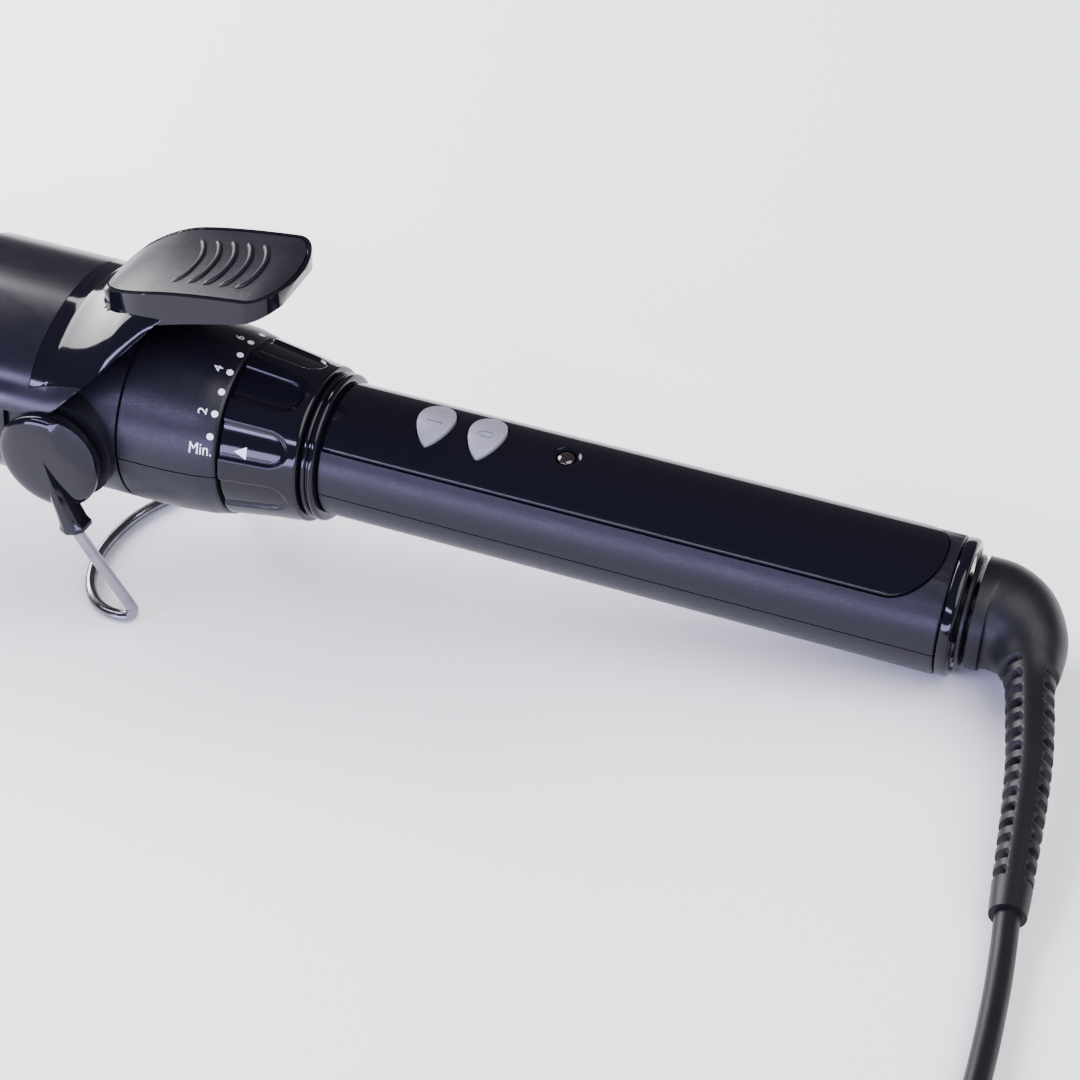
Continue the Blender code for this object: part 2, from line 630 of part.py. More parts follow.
def make_trim(iron):
    groove = 0.35
    middle = RING_FRONT + RING_LENGTH / 2
    turned("trim_ring", [(RING_FRONT + RING_LENGTH, RING_RADIUS - 0.5),
                         (RING_FRONT + RING_LENGTH - 0.4, RING_RADIUS), (middle + 0.3, RING_RADIUS),
                         (middle, RING_RADIUS - groove), (middle - 0.3, RING_RADIUS),
                         (RING_FRONT + 0.3, RING_RADIUS), (RING_FRONT, RING_RADIUS - 0.4),
                         (RING_FRONT, NECK_CLEARANCE), (RING_FRONT + RING_LENGTH, NECK_CLEARANCE)],
           "gloss_black", iron, closed=True)
    spigot = HANDLE_INNER - GAP
    edge = arc((CAP_END - END_CAP_ROUND, HANDLE_RADIUS - END_CAP_ROUND), END_CAP_ROUND, 0, 90, 3)
    bore = SWIVEL_NECK_RADIUS + SWIVEL_PLAY
    wall, plug = 1.1, CAP_FRONT - 6
    web = CAP_END - CAP_WEB
    turned("end_cap", [*edge, (CAP_FRONT, HANDLE_RADIUS), (CAP_FRONT, spigot), (plug, spigot),
                       (plug, spigot - wall), (web, spigot - wall), (web, bore), (CAP_END, bore)],
           "gloss_black", iron, closed=True)


# Heat dial ----------------------------------------------------------------------------------------
def dial_radius(x):
    return DIAL_FRONT_RADIUS + (DIAL_REAR_RADIUS - DIAL_FRONT_RADIUS) * x / DIAL_LENGTH


def grip_section(x, half_angle, middle):
    """Four-sided section of a grip recess: it follows the dial's surface, a little below it."""
    low = dial_radius(x) - DIAL_GRIP_DEPTH
    angles = [middle + half_angle * k / 2 for k in (-2, -1, 0, 1, 2)]
    ring = [(low, a) for a in angles] + [(DIAL_FRONT_RADIUS + 4, a) for a in reversed(angles)]
    return [(x, -r * math.sin(math.radians(a)), r * math.cos(math.radians(a))) for r, a in ring]


def make_dial(iron):
    web = DIAL_LENGTH - SHELL_WALL
    edge = 0.3
    bore = NECK_CLEARANCE + 0.1
    front_inner = DIAL_FRONT_RADIUS - 2.5
    rear_inner = DIAL_REAR_RADIUS - DIAL_WALL
    dial = turned("heat_dial", [(DIAL_LENGTH, DIAL_REAR_RADIUS - edge),
                                (DIAL_LENGTH - edge, DIAL_REAR_RADIUS),
                                (edge, DIAL_FRONT_RADIUS), (0, DIAL_FRONT_RADIUS - edge),
                                (0, front_inner), (web, rear_inner), (web, bore), (DIAL_LENGTH, bore)],
                  "gloss_black", iron, closed=True, steps=45)
    half = DIAL_GRIP_ANGLE / 2
    bodies = []
    for i in range(DIAL_GRIPS):
        middle = DIAL_GRIP_START + 360 / DIAL_GRIPS * i
        bodies.append([grip_section(x, half * share, middle)
                       for x, share in ((-1, 1), (9.0, 1), (11.0, 0.8), (12.0, 0.3))])
    cut(dial, loft("dial_grips", bodies, "gloss_black", iron))
    slope = (rear_inner - front_inner) / web
    for name, low, high, finish in (("dial_wiper", 7.4, 8.4, "brass"),
                                    ("resistor_ring", 5.8, 7.0, "circuit_green")):
        outer = min(front_inner + slope * low, front_inner + slope * high) - 0.4
        turned(name, [(high, outer), (low, outer), (low, bore), (high, bore)], finish, iron, closed=True,
               steps=24)


# Clamp --------------------------------------------------------------------------------------------
# Side view of the thumb lever: distance along the iron, and height above the barrel's surface.
LEVER_TOP = [(-27.4, 6.2), (-25.6, 8.2), (-22, 10.6), (-15, 13.2), (-5, 15.2), (8, 16.8), (10.4, 16.7)]
LEVER_UNDERSIDE = [(9.6, 13.9), (4, 12.0), (-6, 9.4), (-14, 7.0), (-20, 5.0), (-27.4, 4.4)]


def make_spoon(clamp):
    front = BARREL_FRONT + SPOON_FRONT_MARGIN
    half = math.radians(SPOON_HALF_ANGLE)
    count = 14
    stations = [(SPOON_REAR, 1.0), (front + 12, 1.0), (front + 3, 0.8), (front, 0.45)]
    rings = []
    for x, share in stations:
        angles = [half * share * (2 * i / count - 1) for i in range(count + 1)]
        inner = SPOON_RADIUS + (0.8 if x == front else 0)
        outer = inner + SPOON_THICKNESS
        ring = [(outer, a) for a in angles] + [(inner, a) for a in reversed(angles)]
        rings.append([(x - HINGE_X, -r * math.sin(a), r * math.cos(a)) for r, a in ring])
    loft("spoon", [rings], "spoon_black", clamp)


def saddle_section(x, half_width, middle, top):
    """Arched section of the lever over the barrel: outer line, then the inner line back."""
    sides = (LEVER_WALL / 2, -LEVER_WALL / 2)
    lines = []
    for offset in sides:
        wide, tall = half_width + offset, top - middle + offset
        line = [(wide, middle - 16)]
        line += [(wide * math.cos(math.pi * i / 16), middle + tall * math.sin(math.pi * i / 16))
                 for i in range(17)]
        line.append((-wide, middle - 16))
        lines.append(line)
    ring = lines[0] + list(reversed(lines[1]))
    return [(x - HINGE_X, y, z) for y, z in ring]


def tongue_outline(inset):
    """The thumb lever seen from above: long rounded front, blunt rounded rear."""
    half = LEVER_HALF_WIDTH - inset
    front, middle = 13.4 - inset, -14.0
    rear_start, rear = 4.6, 5.8 - inset
    points = [(middle - front * math.sin(a), half * math.cos(a))
              for a in (math.pi * i / 16 for i in range(17))]
    points += [(rear_start + rear * math.sin(a), -half * math.cos(a))
               for a in (math.pi * i / 12 for i in range(13))]
    return [(x - HINGE_X, y) for x, y in points]


def moved(points):
    """Side-view points, measured from the hinge, with heights above the barrel's surface."""
    return [(x - HINGE_X, z + BARREL_RADIUS) for x, z in points]


def make_lever(clamp):
    side = LEVER_SIDE
    stations = [(LEVER_FRONT, 0, 6, 2.6), (SPOON_REAR, 0, 6, 2.6), (HINGE_X, 0, 6, 3.0), (-26, 0, 7, 4.6),
                (-21, 0, 8, 7.9), (-18, 3.4, 15, 10.0), (-14, 7.8, 22, 11.6), (-10, 9.8, 25, 12.4)]
    lever = loft("lever", [[saddle_section(x, side - less, middle, BARREL_RADIUS + height)
                            for x, less, middle, height in stations]], "gloss_black", clamp)
    ear = arc((HINGE_X, -BARREL_RADIUS), LEVER_EAR_RADIUS, 117, 450, 24)
    edge_z = ear[0][1]
    flank = [(LEVER_FRONT - 5, edge_z), *ear, (-14, 6), (-5, 15), (-5, 31), (LEVER_FRONT - 5, 31)]
    cut(lever, prism("lever_flank", moved(flank), -40, 40, "gloss_black", clamp, "XZ"), "INTERSECT")
    tongue = prism("lever_tongue", moved(LEVER_TOP + LEVER_UNDERSIDE), -14, 14, "gloss_black", clamp, "XZ")
    above = BARREL_RADIUS + 35
    cut(tongue, prism("tongue_shape", tongue_outline(0), 10, above, "gloss_black", clamp), "INTERSECT")
    cut(lever, tongue, "UNION")
    for name, low, high in (("pad_recess", -PAD_THICKNESS - GAP, 6), ("thumb_pad", -PAD_THICKNESS, 0)):
        strip = [(x, z + high) for x, z in LEVER_TOP] + [(x, z + low) for x, z in reversed(LEVER_TOP)]
        inset = PAD_BORDER - (GAP if high else 0)
        piece = prism(name, moved(strip), -13, 13, "satin_black", clamp, "XZ")
        cut(piece, prism(name + "_shape", tongue_outline(inset), 10, above, "satin_black", clamp),
            "INTERSECT")
        if high:
            cut(lever, piece)
    for along in ("-Y", "+Y"):
        cut(lever, cylinder("ear_bore" + along, PIN_BORE, BOSS_REACH - 2, HUB_FACE + 5, "gloss_black", clamp,
                            along, sides=20))


# Stand --------------------------------------------------------------------------------------------
def leg_point(distance, y):
    return (distance * math.sin(LEAN), y, -distance * math.cos(LEAN))


def make_stand(stand):
    for name, sign, along in (("near", -1, "-Y"), ("far", 1, "+Y")):
        top = HUB_FACE + HUB_DOME
        hub = turned("stand_hub_" + name, [(top, 0), (top - 0.1, 4), (top - 0.7, 7.4), (top - 1.5, 9.2),
                                           (top - 1.9, HUB_RADIUS), (HUB_FACE, HUB_RADIUS), (HUB_FACE, 0)],
                     "gloss_black", stand, along, steps=28)
        tilt = Matrix.Rotation(-LEAN, 4, "Y")
        depth = STAND_WIRE + 1.5
        middle = leg_point((HUB_SOCKET + 1) / 2, sign * (HUB_FACE + depth / 2))
        ridge = box("hub_ridge_" + name, (STAND_WIRE + 2.6, depth, HUB_SOCKET - 1), middle,
                    "gloss_black", stand, tilt)
        bevel = ridge.modifiers.new("round", "BEVEL")
        bevel.width = 0.7 * MM
        bevel.segments = 2
        cut(hub, ridge, "UNION")
        cut(hub, cylinder("wire_bore_" + name, WIRE_RADIUS + GAP, -HUB_SOCKET - 2, -6.5, "gloss_black",
                          stand, "Z", (0, sign * STAND_WIRE_Y, 0), 16, tilt))
        cut(hub, cylinder("hub_pin_bore_" + name, PIN_BORE, HUB_FACE - 2, HUB_FACE + 1.4, "gloss_black",
                          stand, along, sides=20))
    wire("stand_wire", stand_route(), STAND_WIRE, "steel_wire", stand)


def stand_route():
    """Down one leg, round the foot, which lies flat on the table, and up the other leg."""
    heel = HEEL - Vector((HINGE_X, 0, 0))
    side = [leg_point(7, STAND_WIRE_Y), leg_point(HUB_SOCKET + 1.5, STAND_WIRE_Y),
            leg_point(STAND_LEG - 5, STAND_FOOT_HALF_WIDTH + 0.5)]
    for share in (0.1, 0.3, 0.6, 1.0):
        bend = HEEL_ROUND * (1 - share) ** 2
        side.append(Vector((heel.x, STAND_FOOT_HALF_WIDTH, heel.z)) - HEEL_ROUND * share ** 2 * ALONG
                    + Vector(leg_point(-bend, 0)))
    foot = []
    depth = STAND_FOOT_DEPTH - HEEL_ROUND
    for i in range(1, 16):
        a = math.pi * i / 16
        place = heel - (HEEL_ROUND + depth * math.sin(a)) * ALONG
        foot.append(Vector((place.x, STAND_FOOT_HALF_WIDTH * math.cos(a), place.z)))
    other = [Vector((p[0], -p[1], p[2])) for p in side]
    return side + foot + list(reversed(other))


# Swivel, strain relief and cord -------------------------------------------------------------------
def make_swivel(swivel):
    neck = DISC_END + 0.5
    flange = CAP_END - CAP_WEB - SWIVEL_PLAY
    inside = flange - 2.6
    spout, bore = 5.0, 3.2
    turned("swivel_neck", [(neck, spout), (DISC_END, spout), (DISC_END, SWIVEL_DISC_RADIUS),
                           (DISC_FRONT, SWIVEL_DISC_RADIUS), (DISC_FRONT, SWIVEL_NECK_RADIUS),
                           (flange, SWIVEL_NECK_RADIUS), (flange, SWIVEL_FLANGE_RADIUS),
                           (inside, SWIVEL_FLANGE_RADIUS), (inside, bore), (neck, bore)],
           "satin_black", swivel, closed=True, steps=24)
    ring_end, ring_start = inside - GAP, inside - 1.8
    turned("slip_ring", [(ring_end, 6.5), (ring_start, 6.5), (ring_start, 3.4), (ring_end, 3.4)],
           "brass", swivel, closed=True, steps=20)
    make_strain_relief(swivel, neck + GAP)


# The elbow: middle of each section after the swivel, its turn towards -Y in degrees, its radius.
ELBOW = [((0.0, 0, 0), 0, 9.7), ((3.2, 0, 0), 0, 9.5), ((6.2, -2.0, 0), 25, 8.4),
         ((9.0, -5.4, -0.2), 52, 6.8), ((10.9, -9.6, -0.5), 70, 5.3)]
TAIL = [(12.0, -14.3, -0.8), (13.8, -22.0, -1.4), (15.3, -29.0, -2.0), (16.4, -36.0, -2.7),
        (17.3, -43.0, -3.5), (18.1, -50.0, -4.3), (18.8, -56.0, -4.9), (19.1, -59.0, -5.1)]
TAIL_START_RADIUS = 4.1
TAIL_END_RADIUS = 2.9


def ring_of_points(centre, normal, radius, count=16):
    across = normal.cross(Vector((0, 0, 1))).normalized()
    up = across.cross(normal).normalized()
    return [centre + radius * (across * math.cos(a) + up * math.sin(a))
            for a in (2 * math.pi * i / count for i in range(count))]


def make_strain_relief(swivel, start):
    """A moulded elbow that turns the cord sideways and runs out in a tapered tail."""
    rings = []
    for place, turn, radius in ELBOW:
        normal = Vector((math.cos(math.radians(turn)), -math.sin(math.radians(turn)), 0))
        rings.append(ring_of_points(Vector(place) + Vector((start, 0, 0)), normal, radius))
    places = [Vector(p) + Vector((start, 0, 0)) for p in TAIL]
    for i, place in enumerate(places):
        ahead = places[min(i + 1, len(places) - 1)]
        behind = places[max(i - 1, 0)]
        share = i / (len(places) - 1)
        radius = TAIL_START_RADIUS + (TAIL_END_RADIUS - TAIL_START_RADIUS) * share
        rings.append(ring_of_points(place, (ahead - behind).normalized(), radius))
    loft("strain_relief", [rings], "soft_black", swivel)


# The free cord lies on the table, in the table's frame.
LEAD_ROUTE = [(190.9, -59.4, 3.08), (191.7, -66, 2.55), (192.6, -75, 2.1), (193.5, -90, 2.05),
              (193.7, -105, 2.05), (194.2, -120, 2.05), (195.4, -132.6, 2.05)]
TAIL_ROUTE = [(152.5, -180.8, 4.7), (146.0, -181.0, 5.0), (141.0, -181.0, 6.4), (136.8, -181.0, 6.9)]
PLUG_AXIS = (-181.0, 6.9)
PLUG_SECTIONS = [(136.0, 2.9, 2.9), (121.0, 3.6, 3.6), (114.0, 9.0, 5.4), (106.0, 15.2, 6.5),
                 (98.0, 17.4, 6.8), (92.5, 17.2, 6.6)]
PIN_RADIUS = 2.0
PIN_SPACING = 18.6
PIN_LENGTH = 19.0


def plug_section(x, half_width, half_height):
    points = []
    for i in range(20):
        a = 2 * math.pi * i / 20
        y = half_width * math.copysign(abs(math.cos(a)) ** 0.7, math.cos(a))
        z = half_height * math.copysign(abs(math.sin(a)) ** 0.7, math.sin(a))
        points.append((x, PLUG_AXIS[0] + y, PLUG_AXIS[1] + z))
    return points


def make_cord(swivel):
    table = swivel_to_table(swivel)
    wire("cord_lead", smooth_route(LEAD_ROUTE, 9), CORD_DIAMETER, "soft_black", table)
    inner, outer = COIL_RADIUS - COIL_WIDTH / 2, COIL_RADIUS + COIL_WIDTH / 2
    turned("cord_coil", [(COIL_HEIGHT, outer), (0.05, outer), (0.05, inner), (COIL_HEIGHT, inner)],
           "soft_black", table, "Z", (*COIL_CENTRE, 0), closed=True, steps=32)
    wire("cord_tail", smooth_route(TAIL_ROUTE, 8), CORD_DIAMETER, "soft_black", table)
    loft("plug_body", [[plug_section(*s) for s in PLUG_SECTIONS]], "soft_black", table)
    face = PLUG_SECTIONS[-1][0] - GAP
    for name, side in (("plug_pin_near", -1), ("plug_pin_far", 1)):
        at = (0, PLUG_AXIS[0] + side * PIN_SPACING / 2, PLUG_AXIS[1])
        cylinder(name, PIN_RADIUS, face - PIN_LENGTH, face, "brass", table, "X", at, 16)


def swivel_to_table(swivel):
    """An empty that turns with the swivel but keeps the table's frame at rest."""
    frame = empty("cord_on_table", swivel)
    bpy.context.view_layer.update()
    frame.matrix_local = swivel.matrix_world.inverted()
    return frame


def main():
    for old in list(bpy.data.objects):
        bpy.data.objects.remove(old, do_unlink=True)
    origin = iron_origin()
    iron = empty("iron_frame", None, origin, (0, PITCH, 0))
    handle = empty("handle_frame", iron, rotation=(math.radians(HANDLE_ROLL), 0, 0))
    clamp = empty("clamp_axis", iron, (HINGE_X, 0, 0))
    stand = empty("stand_axis", iron, (HINGE_X, 0, 0))
    swivel = empty("swivel_axis", iron)
    make_barrel(iron)
    make_heater(iron)
    make_collar(iron)
    make_housing(iron)
    panel = make_panel(handle)
    upper = make_shells(handle)
    make_buttons(handle, panel, upper)
    make_electronics(handle, panel, upper)
    make_trim(iron)
    make_dial(iron)
    make_spoon(clamp)
    make_lever(clamp)
    make_stand(stand)
    make_swivel(swivel)
    make_cord(swivel)


main()
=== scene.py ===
"""Looks of the curling iron: fine pieces, finishes, cord, floor, light and camera.

New pieces are drawn in millimetres in the iron's own frame, as the CAD is: X runs along the handle
towards the cord, Z points to the clamp lever, and X = 0 is the front edge of the heat dial.
"""
import json
import math

import bmesh
import bpy
from mathutils import Matrix, Vector


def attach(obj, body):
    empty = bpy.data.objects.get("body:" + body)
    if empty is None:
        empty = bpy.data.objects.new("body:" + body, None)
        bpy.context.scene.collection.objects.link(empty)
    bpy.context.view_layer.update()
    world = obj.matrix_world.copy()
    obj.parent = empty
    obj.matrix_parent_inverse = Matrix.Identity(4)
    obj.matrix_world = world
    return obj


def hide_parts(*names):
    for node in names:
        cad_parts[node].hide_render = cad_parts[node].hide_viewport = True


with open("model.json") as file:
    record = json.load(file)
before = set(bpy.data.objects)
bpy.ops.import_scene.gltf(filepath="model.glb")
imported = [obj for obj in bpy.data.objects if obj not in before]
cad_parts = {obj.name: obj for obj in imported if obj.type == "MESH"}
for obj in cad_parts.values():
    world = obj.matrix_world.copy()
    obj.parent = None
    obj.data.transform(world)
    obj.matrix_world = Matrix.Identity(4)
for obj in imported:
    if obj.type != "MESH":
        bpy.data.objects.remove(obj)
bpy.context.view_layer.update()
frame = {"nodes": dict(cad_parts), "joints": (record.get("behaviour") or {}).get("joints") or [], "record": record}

# The iron's frame, from the joints -----------------------------------------------------------------
MM = 0.001
HINGE_X = -30.0
JOINTS = {joint["name"]: joint for joint in frame["joints"]}
HINGE = Vector(JOINTS["clamp_hinge"]["pos_m"])
ALONG = Vector(JOINTS["cord_swivel"]["axis"]).normalized()
ABOVE = Vector((-ALONG.z, 0, ALONG.x))
ORIGIN = HINGE - ALONG * HINGE_X * MM


def axes(x, y, z, origin, scale):
    """A matrix with these axes as its columns."""
    rows = [(x[i] * scale, y[i] * scale, z[i] * scale, origin[i]) for i in range(3)]
    return Matrix((*rows, (0, 0, 0, 1)))


IRON = axes(ALONG, Vector((0, 1, 0)), ABOVE, ORIGIN, MM)
HANDLE_ROLL = 7.0
HANDLE = IRON @ Matrix.Rotation(math.radians(HANDLE_ROLL), 4, "X")
TABLE = Matrix.Scale(MM, 4)

# Sizes in millimetres ------------------------------------------------------------------------------
GAP = 0.3
BARREL_RADIUS = 19.0
BARREL_REAR = -41.3
BARREL_FRONT = -195.3
TIP_END = -215.6
COLLAR_FRONT, COLLAR_REAR, COLLAR_RADIUS = -41.0, -19.5, 18.0
BOSS_RADIUS, BOSS_REACH = 10.3, 19.4
HOUSING_REAR = -0.5
DIAL_LENGTH, DIAL_FRONT_RADIUS, DIAL_REAR_RADIUS = 14.1, 16.4, 14.3
RING_FRONT, RING_REAR = 14.4, 17.0
HANDLE_FRONT, HANDLE_END, HANDLE_RADIUS = 17.3, 128.6, 12.0
PANEL_FRONT, PANEL_END, PANEL_WIDTH, PANEL_CORNER = 17.8, 126.6, 17.6, 8.0
PANEL_OUTER, PANEL_INNER, PANEL_BED = 12.25, 11.4, 11.1
WALL = 1.8
PIN_BORE = 2.6
SCREWS = (22.5, 112.0)
BUTTONS = {"on": 35.6, "off": 45.2}
BUTTON_LENGTH, BUTTON_WIDTH, BUTTON_CROWN = 6.8, 9.8, 12.7
LAMP_X, LAMP_BORE = 60.0, 1.9
CAP_FRONT, CAP_END = 128.9, 131.1
DISC_FRONT, DISC_END, DISC_RADIUS = 131.5, 132.4, 9.6
RELIEF_START = 133.2
HUB_FACE, HUB_RADIUS = 22.5, 9.7
STAND_WIRE, STAND_WIRE_Y, STAND_LEG, STAND_LEAN = 2.2, 24.2, 38.2, math.radians(18.5)
STAND_FOOT_HALF_WIDTH, STAND_FOOT_DEPTH = 20.0, 17.7
CORD_DIAMETER, CORD_LENGTH = 4.0, 1800.0


# Shader maths --------------------------------------------------------------------------------------
class Wire:
    """A socket in a material. A sum on it is written as Python and adds its Math nodes."""

    def __init__(self, tree, socket):
        self.tree = tree
        self.socket = socket

    def node(self, kind, settings, values, output=0):
        made = self.tree.nodes.new("ShaderNode" + kind)
        for name, value in settings.items():
            setattr(made, name, value)
        for name, value in values.items():
            if isinstance(value, Wire):
                self.tree.links.new(value.socket, made.inputs[name])
            else:
                made.inputs[name].default_value = value
        return Wire(self.tree, made.outputs[output])

    def maths(self, operation, first, second):
        return self.node("Math", {"operation": operation}, {0: first, 1: second})

    def __add__(self, other):
        return self.maths("ADD", self, other)

    def __radd__(self, other):
        return self.maths("ADD", other, self)

    def __sub__(self, other):
        return self.maths("SUBTRACT", self, other)

    def __rsub__(self, other):
        return self.maths("SUBTRACT", other, self)

    def __mul__(self, other):
        return self.maths("MULTIPLY", self, other)

    def __rmul__(self, other):
        return self.maths("MULTIPLY", other, self)

    def stretched(self, stretch, turn=(0, 0, 0)):
        return self.node("Mapping", {}, {"Vector": self, "Rotation": turn, "Scale": stretch})

    def grain(self, size, detail=2.0, roughness=0.5):
        """Noise from 0 to 1 whose grains are about this many millimetres across."""
        return self.node("TexNoise", {}, {"Vector": self, "Scale": 1 / size, "Detail": detail,
                                          "Roughness": roughness})

    def cells(self, size):
        return self.node("TexVoronoi", {"feature": "F1"}, {"Vector": self, "Scale": 1 / size})

    def band(self, low, high):
        """0 below low, 1 above high, and a smooth step between them."""
        return self.node("MapRange", {"interpolation_type": "SMOOTHSTEP"},
                         {"Value": self, "From Min": low, "From Max": high, "To Min": 0.0, "To Max": 1.0})

    def mixed(self, first, second):
        """A colour between two others, by this share."""
        return self.node("Mix", {"data_type": "RGBA"},
                         {"Factor": self, 6: (*first, 1), 7: (*second, 1)}, 2)


class Finish:
    """A material whose place wire gives millimetres on the object."""

    def __init__(self, name, colour, roughness, metallic=0.0, **constants):
        self.material = bpy.data.materials.new(name)
        self.material.use_nodes = True
        self.material.diffuse_color = (*colour, 1)
        self.tree = self.material.node_tree
        self.shader = self.tree.nodes["Principled BSDF"]
        self.set("Base Color", (*colour, 1))
        self.set("Roughness", roughness)
        self.set("Metallic", metallic)
        for socket, value in constants.items():
            self.set(socket.replace("_", " ").title().replace("Ior", "IOR"), value)
        source = self.tree.nodes.new("ShaderNodeTexCoord")
        start = Wire(self.tree, source.outputs["Object"])
        self.place = start.stretched((1000, 1000, 1000))

    def set(self, socket, value):
        if isinstance(value, Wire):
            self.tree.links.new(value.socket, self.shader.inputs[socket])
        else:
            self.shader.inputs[socket].default_value = value

    def bump(self, height, depth):
        """Raises the surface by a height from 0 to 1, times a depth in millimetres."""
        values = {"Height": height, "Strength": 1.0, "Distance": depth * MM}
        self.set("Normal", height.node("Bump", {}, values))


def gloss(name, colour, roughness=0.07):
    """Polished moulded plastic: faint orange peel, hairline rubs and a little dust."""
    finish = Finish(name, colour, roughness, specular_ior_level=0.24)
    rubs = finish.place.stretched((0.15, 1.6, 1.6), (0.2, 0.1, 0.3)).grain(0.35, 4).band(0.6, 0.78)
    dust = finish.place.grain(0.5, 3).band(0.68, 0.8)
    haze = finish.place.grain(14, 3)
    finish.set("Roughness", roughness + rubs * 0.06 + dust * 0.12 + haze * 0.05)
    lighter = tuple(value * 2.2 + 0.004 for value in colour)
    finish.set("Base Color", (dust * 0.5).mixed(colour, lighter))
    finish.bump(finish.place.grain(2.6, 1), 0.006)
    return finish.material


def textured(name, colour, roughness, grain_size, depth, sparkle=0.0):
    """Plastic from a spark-eroded mould: a fine pebble grain with slight polish, whose raised tips are painted
    brighter as a painted glint.
    """
    finish = Finish(name, colour, roughness, specular_ior_level=0.22)
    pebbles = finish.place.grain(grain_size, 2, 0.6)
    cells = finish.place.cells(grain_size * 1.7)
    worn = finish.place.grain(9, 4).band(0.45, 0.75)
    tip_polish_and_painted_glint = pebbles.band(0.52, 0.72)
    finish.set("Roughness", roughness + 0.10 - worn * 0.06 - tip_polish_and_painted_glint * (0.10 + sparkle * 0.12))
    # The raised grain tips are painted lighter: a painted glint on the pebbles, not a colour of the plastic.
    lighter = tuple(value * 1.9 + 0.006 for value in colour)
    finish.set("Base Color", (tip_polish_and_painted_glint * 0.55).mixed(colour, lighter))
    finish.bump(pebbles * 0.7 + cells * 0.3, depth)
    return finish.material


def metal(name, colour, roughness, stretch, tarnish=0.25):
    """Drawn or turned metal: fine lines along one direction and cloudy tarnish."""
    finish = Finish(name, colour, roughness, 1.0)
    lines = finish.place.stretched(stretch).grain(0.25, 3)
    cloud = finish.place.grain(3.5, 4).band(0.4, 0.75)
    finish.set("Roughness", roughness + lines * 0.10 + cloud * 0.10)
    darker = tuple(value * (1 - tarnish) for value in colour)
    finish.set("Base Color", cloud.mixed(colour, darker))
    finish.bump(lines, 0.004)
    return finish.material


def lacquer(name, colour, roughness):
    """Silver lacquer over plastic: small flakes that differ in brightness."""
    finish = Finish(name, colour, roughness, 0.55)
    flakes = finish.place.cells(0.16)
    cloud = finish.place.grain(0.7, 3)
    darker = tuple(value * 0.72 for value in colour)
    finish.set("Base Color", (flakes * 0.8).mixed(colour, darker))
    finish.set("Roughness", roughness + cloud * 0.16)
    finish.bump(flakes, 0.006)
    return finish.material


def coated(name, colour, roughness, metallic):
    """Heat-proof coating on metal: satin, with the faintest brush lines and soft rub marks."""
    finish = Finish(name, colour, roughness, metallic, specular_ior_level=0.26)
    lines = finish.place.stretched((0.08, 1, 1)).grain(0.5, 3)
    rubs = finish.place.stretched((0.4, 1, 1)).grain(6, 4).band(0.5, 0.72)
    finish.set("Roughness", roughness + lines * 0.07 - rubs * 0.07)
    lighter = tuple(value * 1.35 for value in colour)
    finish.set("Base Color", rubs.mixed(colour, lighter))
    finish.bump(finish.place.grain(0.4, 2), 0.004)
    return finish.material


def flecked(name, colour, roughness, size):
    """Inner resins, ceramics and boards: one colour broken by soft flecks."""
    finish = Finish(name, colour, roughness)
    flecks = finish.place.grain(size, 4)
    darker = tuple(value * 0.6 for value in colour)
    finish.set("Base Color", flecks.band(0.4, 0.7).mixed(colour, darker))
    finish.set("Roughness", roughness + flecks * 0.12)
    finish.bump(flecks, 0.02)
    return finish.material


def lens(name, colour, glow):
    """Clear dark plastic over the lamp."""
    finish = Finish(name, colour, 0.06, coat_weight=0.6)
    swirl = finish.place.grain(0.4, 2)
    finish.set("Roughness", 0.05 + swirl * 0.05)
    finish.set("Base Color", swirl.mixed(colour, glow))
    return finish.material


FINISHES = {
    "gloss_black": gloss("gloss_black", (0.0030, 0.0028, 0.0055), 0.05),
    "satin_black": textured("satin_black", (0.0050, 0.0046, 0.0085), 0.27, 0.20, 0.030, 0.6),
    "soft_black": textured("soft_black", (0.0042, 0.0042, 0.0058), 0.34, 0.28, 0.012),
    "spoon_black": coated("spoon_black", (0.0048, 0.0045, 0.0080), 0.22, 0.0),
    "ceramic_black": coated("ceramic_black", (0.0075, 0.0070, 0.0110), 0.20, 0.1),
    "steel_wire": metal("steel_wire", (0.24, 0.235, 0.27), 0.10, (1, 1, 0.15)),
    "spring_steel": metal("spring_steel", (0.40, 0.40, 0.42), 0.26, (1, 0.2, 1)),
    "aluminium": metal("aluminium", (0.60, 0.61, 0.63), 0.32, (0.1, 1, 1)),
    "brass": metal("brass", (0.70, 0.52, 0.24), 0.20, (0.2, 1, 1)),
    "button_silver": lacquer("button_silver", (0.31, 0.30, 0.38), 0.33),
    "heat_resin": flecked("heat_resin", (0.09, 0.08, 0.07), 0.55, 0.8),
    "heater_ceramic": flecked("heater_ceramic", (0.74, 0.71, 0.64), 0.62, 0.5),
    "circuit_green": flecked("circuit_green", (0.03, 0.15, 0.07), 0.35, 0.6),
    "lamp_red": lens("lamp_red", (0.42, 0.02, 0.015), (0.6, 0.05, 0.03)),
    "lamp_clear": lens("lamp_clear", (0.006, 0.004, 0.006), (0.014, 0.006, 0.008)),
    "lead_red": textured("lead_red", (0.42, 0.04, 0.03), 0.42, 0.3, 0.01),
    "lead_white": textured("lead_white", (0.66, 0.66, 0.64), 0.42, 0.3, 0.01),
}
MARK = flecked("mark_white", (0.80, 0.79, 0.84), 0.45, 0.15)
SLOT_OF = {part["node"]: part["material_slot"] for part in frame["record"]["subparts"]}
for node_name, node in frame["nodes"].items():
    node.data.materials.clear()
    node.data.materials.append(FINISHES[SLOT_OF[node_name]])


# Modelling -----------------------------------------------------------------------------------------
def deselect():
    if bpy.context.mode != "OBJECT":
        bpy.ops.object.mode_set(mode="OBJECT")
    bpy.ops.object.select_all(action="DESELECT")


def only(piece):
    deselect()
    piece.select_set(True)
    bpy.context.view_layer.objects.active = piece


